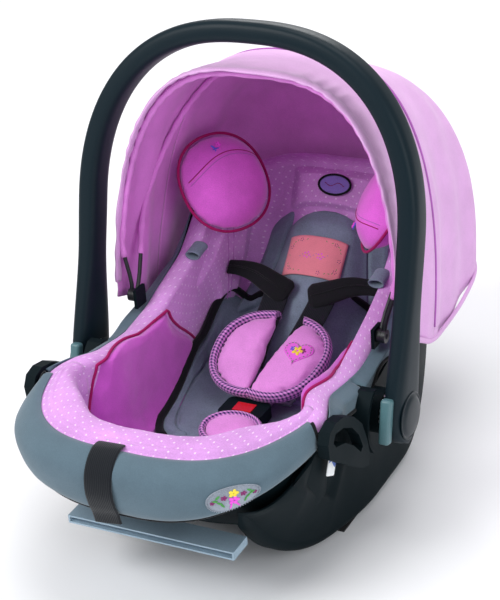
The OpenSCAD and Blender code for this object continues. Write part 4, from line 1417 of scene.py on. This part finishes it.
put(close(make_grid(64, 12, patch_skin)), "oval_patch", PATCH_GREY,
    replaces=["foot_patch"])
edge = [(30 * math.cos(w), 18.3 * math.sin(w), math.degrees(w), 2.6, 0.9)
        for w in (2 * math.pi * k / 60 for k in range(60))]
leaves = [(side * x, y, side * turn, 6.5, 2.4) for side, _ in SIDES
          for x, y, turn in ((16, -3, 30), (18, 6, -35), (21, 1, 10), (13, -7, 60))]
plums = flower(-11, 3.5, 2.2) + flower(11, 3.5, 2.2) + flower(-24, -1, 1.6) + flower(24, -1, 1.6)
bow = flower(0, -3, 3.8) + [(-4, -11, 65, 8, 2.2), (4, -11, -65, 8, 2.2)]
for name, marks, thread in (
    ("edge", edge, PATCH_GREY), ("leaves", leaves, GREEN_THREAD), ("plums", plums, PLUM_THREAD),
    ("yellow", flower(0, 8, 3.4), YELLOW_THREAD), ("pink", bow, PINK_THREAD),
):
    stitch(f"oval_patch_{name}", raised, marks, thread)

for side, label_name in SIDES:
    bm = bmesh.new()
    at = Matrix.Translation(hub((ROCKER_HALF + 7.6) * side, -120, 4))
    turn = at @ Matrix.Rotation(math.radians(28), 4, "X")
    shaft = Matrix.Translation((0, 0, -0.004)) @ Matrix.Diagonal((0.0006, 0.0045, 0.013, 1))
    head = Matrix.Translation((0, 0, 0.0055)) @ Matrix.Rotation(math.radians(90), 4, "Y")
    bmesh.ops.create_cube(bm, size=1, matrix=turn @ shaft)
    bmesh.ops.create_cone(bm, cap_ends=True, segments=3, radius1=0.0068, radius2=0.0068, depth=0.0006,
                          matrix=turn @ head @ Matrix.Rotation(math.pi, 4, "Z"))
    arrow = put(bm, f"marker_arrow_{label_name}", BLUE_INK).data
    arrow.polygons.foreach_set("use_smooth", [False] * len(arrow.polygons))
print("embroidery made")

# %% [markdown]
# ## Harness
# Webbing is flat and stiff, so it is drawn directly: a thin flat tube along the strap's middle. The
# flaps are folded tape over the shoulder straps where they leave the back.

# %% Straps and flaps
FACE = Matrix.Rotation(math.radians(44), 3, "X")
NORMAL = FACE @ Vector((0, 0, 1))
FLAP_LINE = [(14, -14), (34, -6), (62, 6), (84, 10), (104, 10)]
FLAP_AT = Vector(bowl(180, 0.50, PAD_OUT + 9))

for side, label in SIDES:
    def strap(t, side=side):
        s = mix(0.50, 0.80, t)
        return side * mix(32, 22, t), *bowl(180, s, PAD_OUT + mix(9, 22, smooth(t * 1.4)))[1:]

    tube(f"shoulder_web_{label}", strap, 34, WEBBING, depth=2.4, steps=60, sides=16, square=0.4,
         lean=tuple(NORMAL), replaces=[f"shoulder_strap_{label}"])

    def flap(t, side=side):
        x, y = along(FLAP_LINE, t)
        return FLAP_AT + FACE @ Vector((side * x, y, 3 + 3 * math.sin(math.pi * t)))

    tube(f"flap_{label}", flap, 30, BINDING, depth=9, steps=70, sides=20, square=0.7,
         lean=tuple(NORMAL), replaces=[f"strap_flap_{label}"],
         swell=lambda t: mix(1.15, 0.62, smooth(t)) * min(1, 0.72 + 3 * t))
    tube(f"flap_fold_{label}", lambda t, flap=flap: flap(mix(0.06, 0.95, t)) + NORMAL * 4.4, 2.4, BINDING,
         steps=60, sides=8)


def crotch_strap(t):
    return 0, mix(-52, 22, t), -PAN_DEPTH + PAD_OUT + 3 + 3 * math.sin(math.pi * t)


tube("crotch_web", crotch_strap, 38, WEBBING, depth=2.4, steps=30, sides=16, square=0.4,
     lean=(0, 0, 1), replaces=["crotch_strap"])


# %% Adjuster strap over the foot end
FRONT_LINE = [
    (17, RIM_ROLL + 1.2), (8, RIM_ROLL + 3.6), (-2, RIM_ROLL + 3.4), (-14, RIM_ROLL - 3), (-24, -6),
    (-27.5, -24), (-25, -40), (-21, -52), (-19, -64),
]


def front_strap(t):
    _, y, z = rim(0, *along(FRONT_LINE, t))
    return mix(-16, -10, t), y, z


def front_lean(t):
    turn = math.pi / 2 * clamp(t * 1.5)
    return Vector((0, -math.sin(turn), math.cos(turn) + 0.01))


tube("front_web", front_strap, 33, WEBBING, depth=2.6, steps=90, sides=20, square=0.4,
     lean=front_lean, replaces=["adjuster_strap"])
print("harness made")

# %% [markdown]
# ## Side skirt
# Behind the bumper the cover hangs down over the shell's flange as a short grey skirt with a bound
# edge. It arches over the belt guide and dips to a point between the guide and the hub.

# %% Skirts
# Places (y, z) along the skirt's lower edge, used from y = -20 on.
SKIRT_START, SKIRT_END = -132, 240
SKIRT = [(-24, -22), (-8, 22), (30, 40), (80, 34), (140, 44), (200, 74), (240, 100)]


def skirt_low(y):
    k = max(i for i in range(len(SKIRT) - 1) if SKIRT[i][0] <= y or i == 0)
    (y0, z0), (y1, z1) = SKIRT[k], SKIRT[k + 1]
    return mix(z0, z1, smooth((y - y0) / (y1 - y0)))


for side, label in SIDES:
    def skirt(u, v, side=side):
        y = mix(SKIRT_START, SKIRT_END, u)
        top = cover_top(y) - 4
        low = min(top - 6, skirt_low(y) if y > -20 else top - 26 * smooth((y + 136) / 40))
        outer = min(ROCKER_HALF + 7.2, wall_half(y) + 2)
        x = mix(rim_half(y) + 2.5, outer, smooth(v * 2.6))
        return side * x, y, mix(top, low, v)

    bm = make_grid(150, 16, lambda u, v, skirt=skirt: hub(*skirt(u, v)))
    piece = put(bm, f"side_skirt_{label}", BUMPER_GREY)
    if piece.data.polygons[len(piece.data.polygons) // 2].normal.x * side < 0:
        piece.data.flip_normals()
    thicken(piece, 1.4)
    tube(f"skirt_binding_{label}", lambda t, skirt=skirt: skirt(t, 1.0), 4.6, BINDING, steps=180,
         sides=10)
print("skirts made")

# %% [markdown]
# ## Everything that keeps its CAD shape
# Rigid parts whose shape is right stay as they are and get a finish.

# %% Finishes of the CAD parts
FINISHES = {
    SHELL: ["belt_guide_left", "belt_guide_right", "hub_mount_left", "hub_mount_right", "canopy_bracket_left",
            "canopy_bracket_right", "buckle_body"],
    WIRE: ["front_bow", "rear_bow"],
    RED: ["buckle_button"],
    RUBBER: ["rest_pads"],
    FOAM: ["foam_liner"],
    VINYL: ["document_pocket"],
    WHITE_FILM: ["arrow_marker_left", "arrow_marker_right"],
    STEEL: ["buckle_tongue_left", "buckle_tongue_right", "adjuster_frame", "adjuster_lever", "rear_yoke",
            "pivot_pin_left", "pivot_pin_right", "detent_ring_left", "detent_ring_right"],
}
for material, nodes in FINISHES.items():
    for name in nodes:
        part = bpy.data.objects[name]
        part.data.materials.clear()
        part.data.materials.append(material)

# %% Floor
bm = bmesh.new()
bmesh.ops.create_grid(bm, x_segments=1, y_segments=1, size=4)
floor_mesh = bpy.data.meshes.new("floor")
bm.to_mesh(floor_mesh)
floor = bpy.data.objects.new("floor", floor_mesh)
paper, _, shader = new_material("pale_backdrop_paper", 0.9)
shader.inputs["Base Color"].default_value = linear("#f4f4f6")
floor_mesh.materials.append(paper)
bpy.context.scene.collection.objects.link(floor)
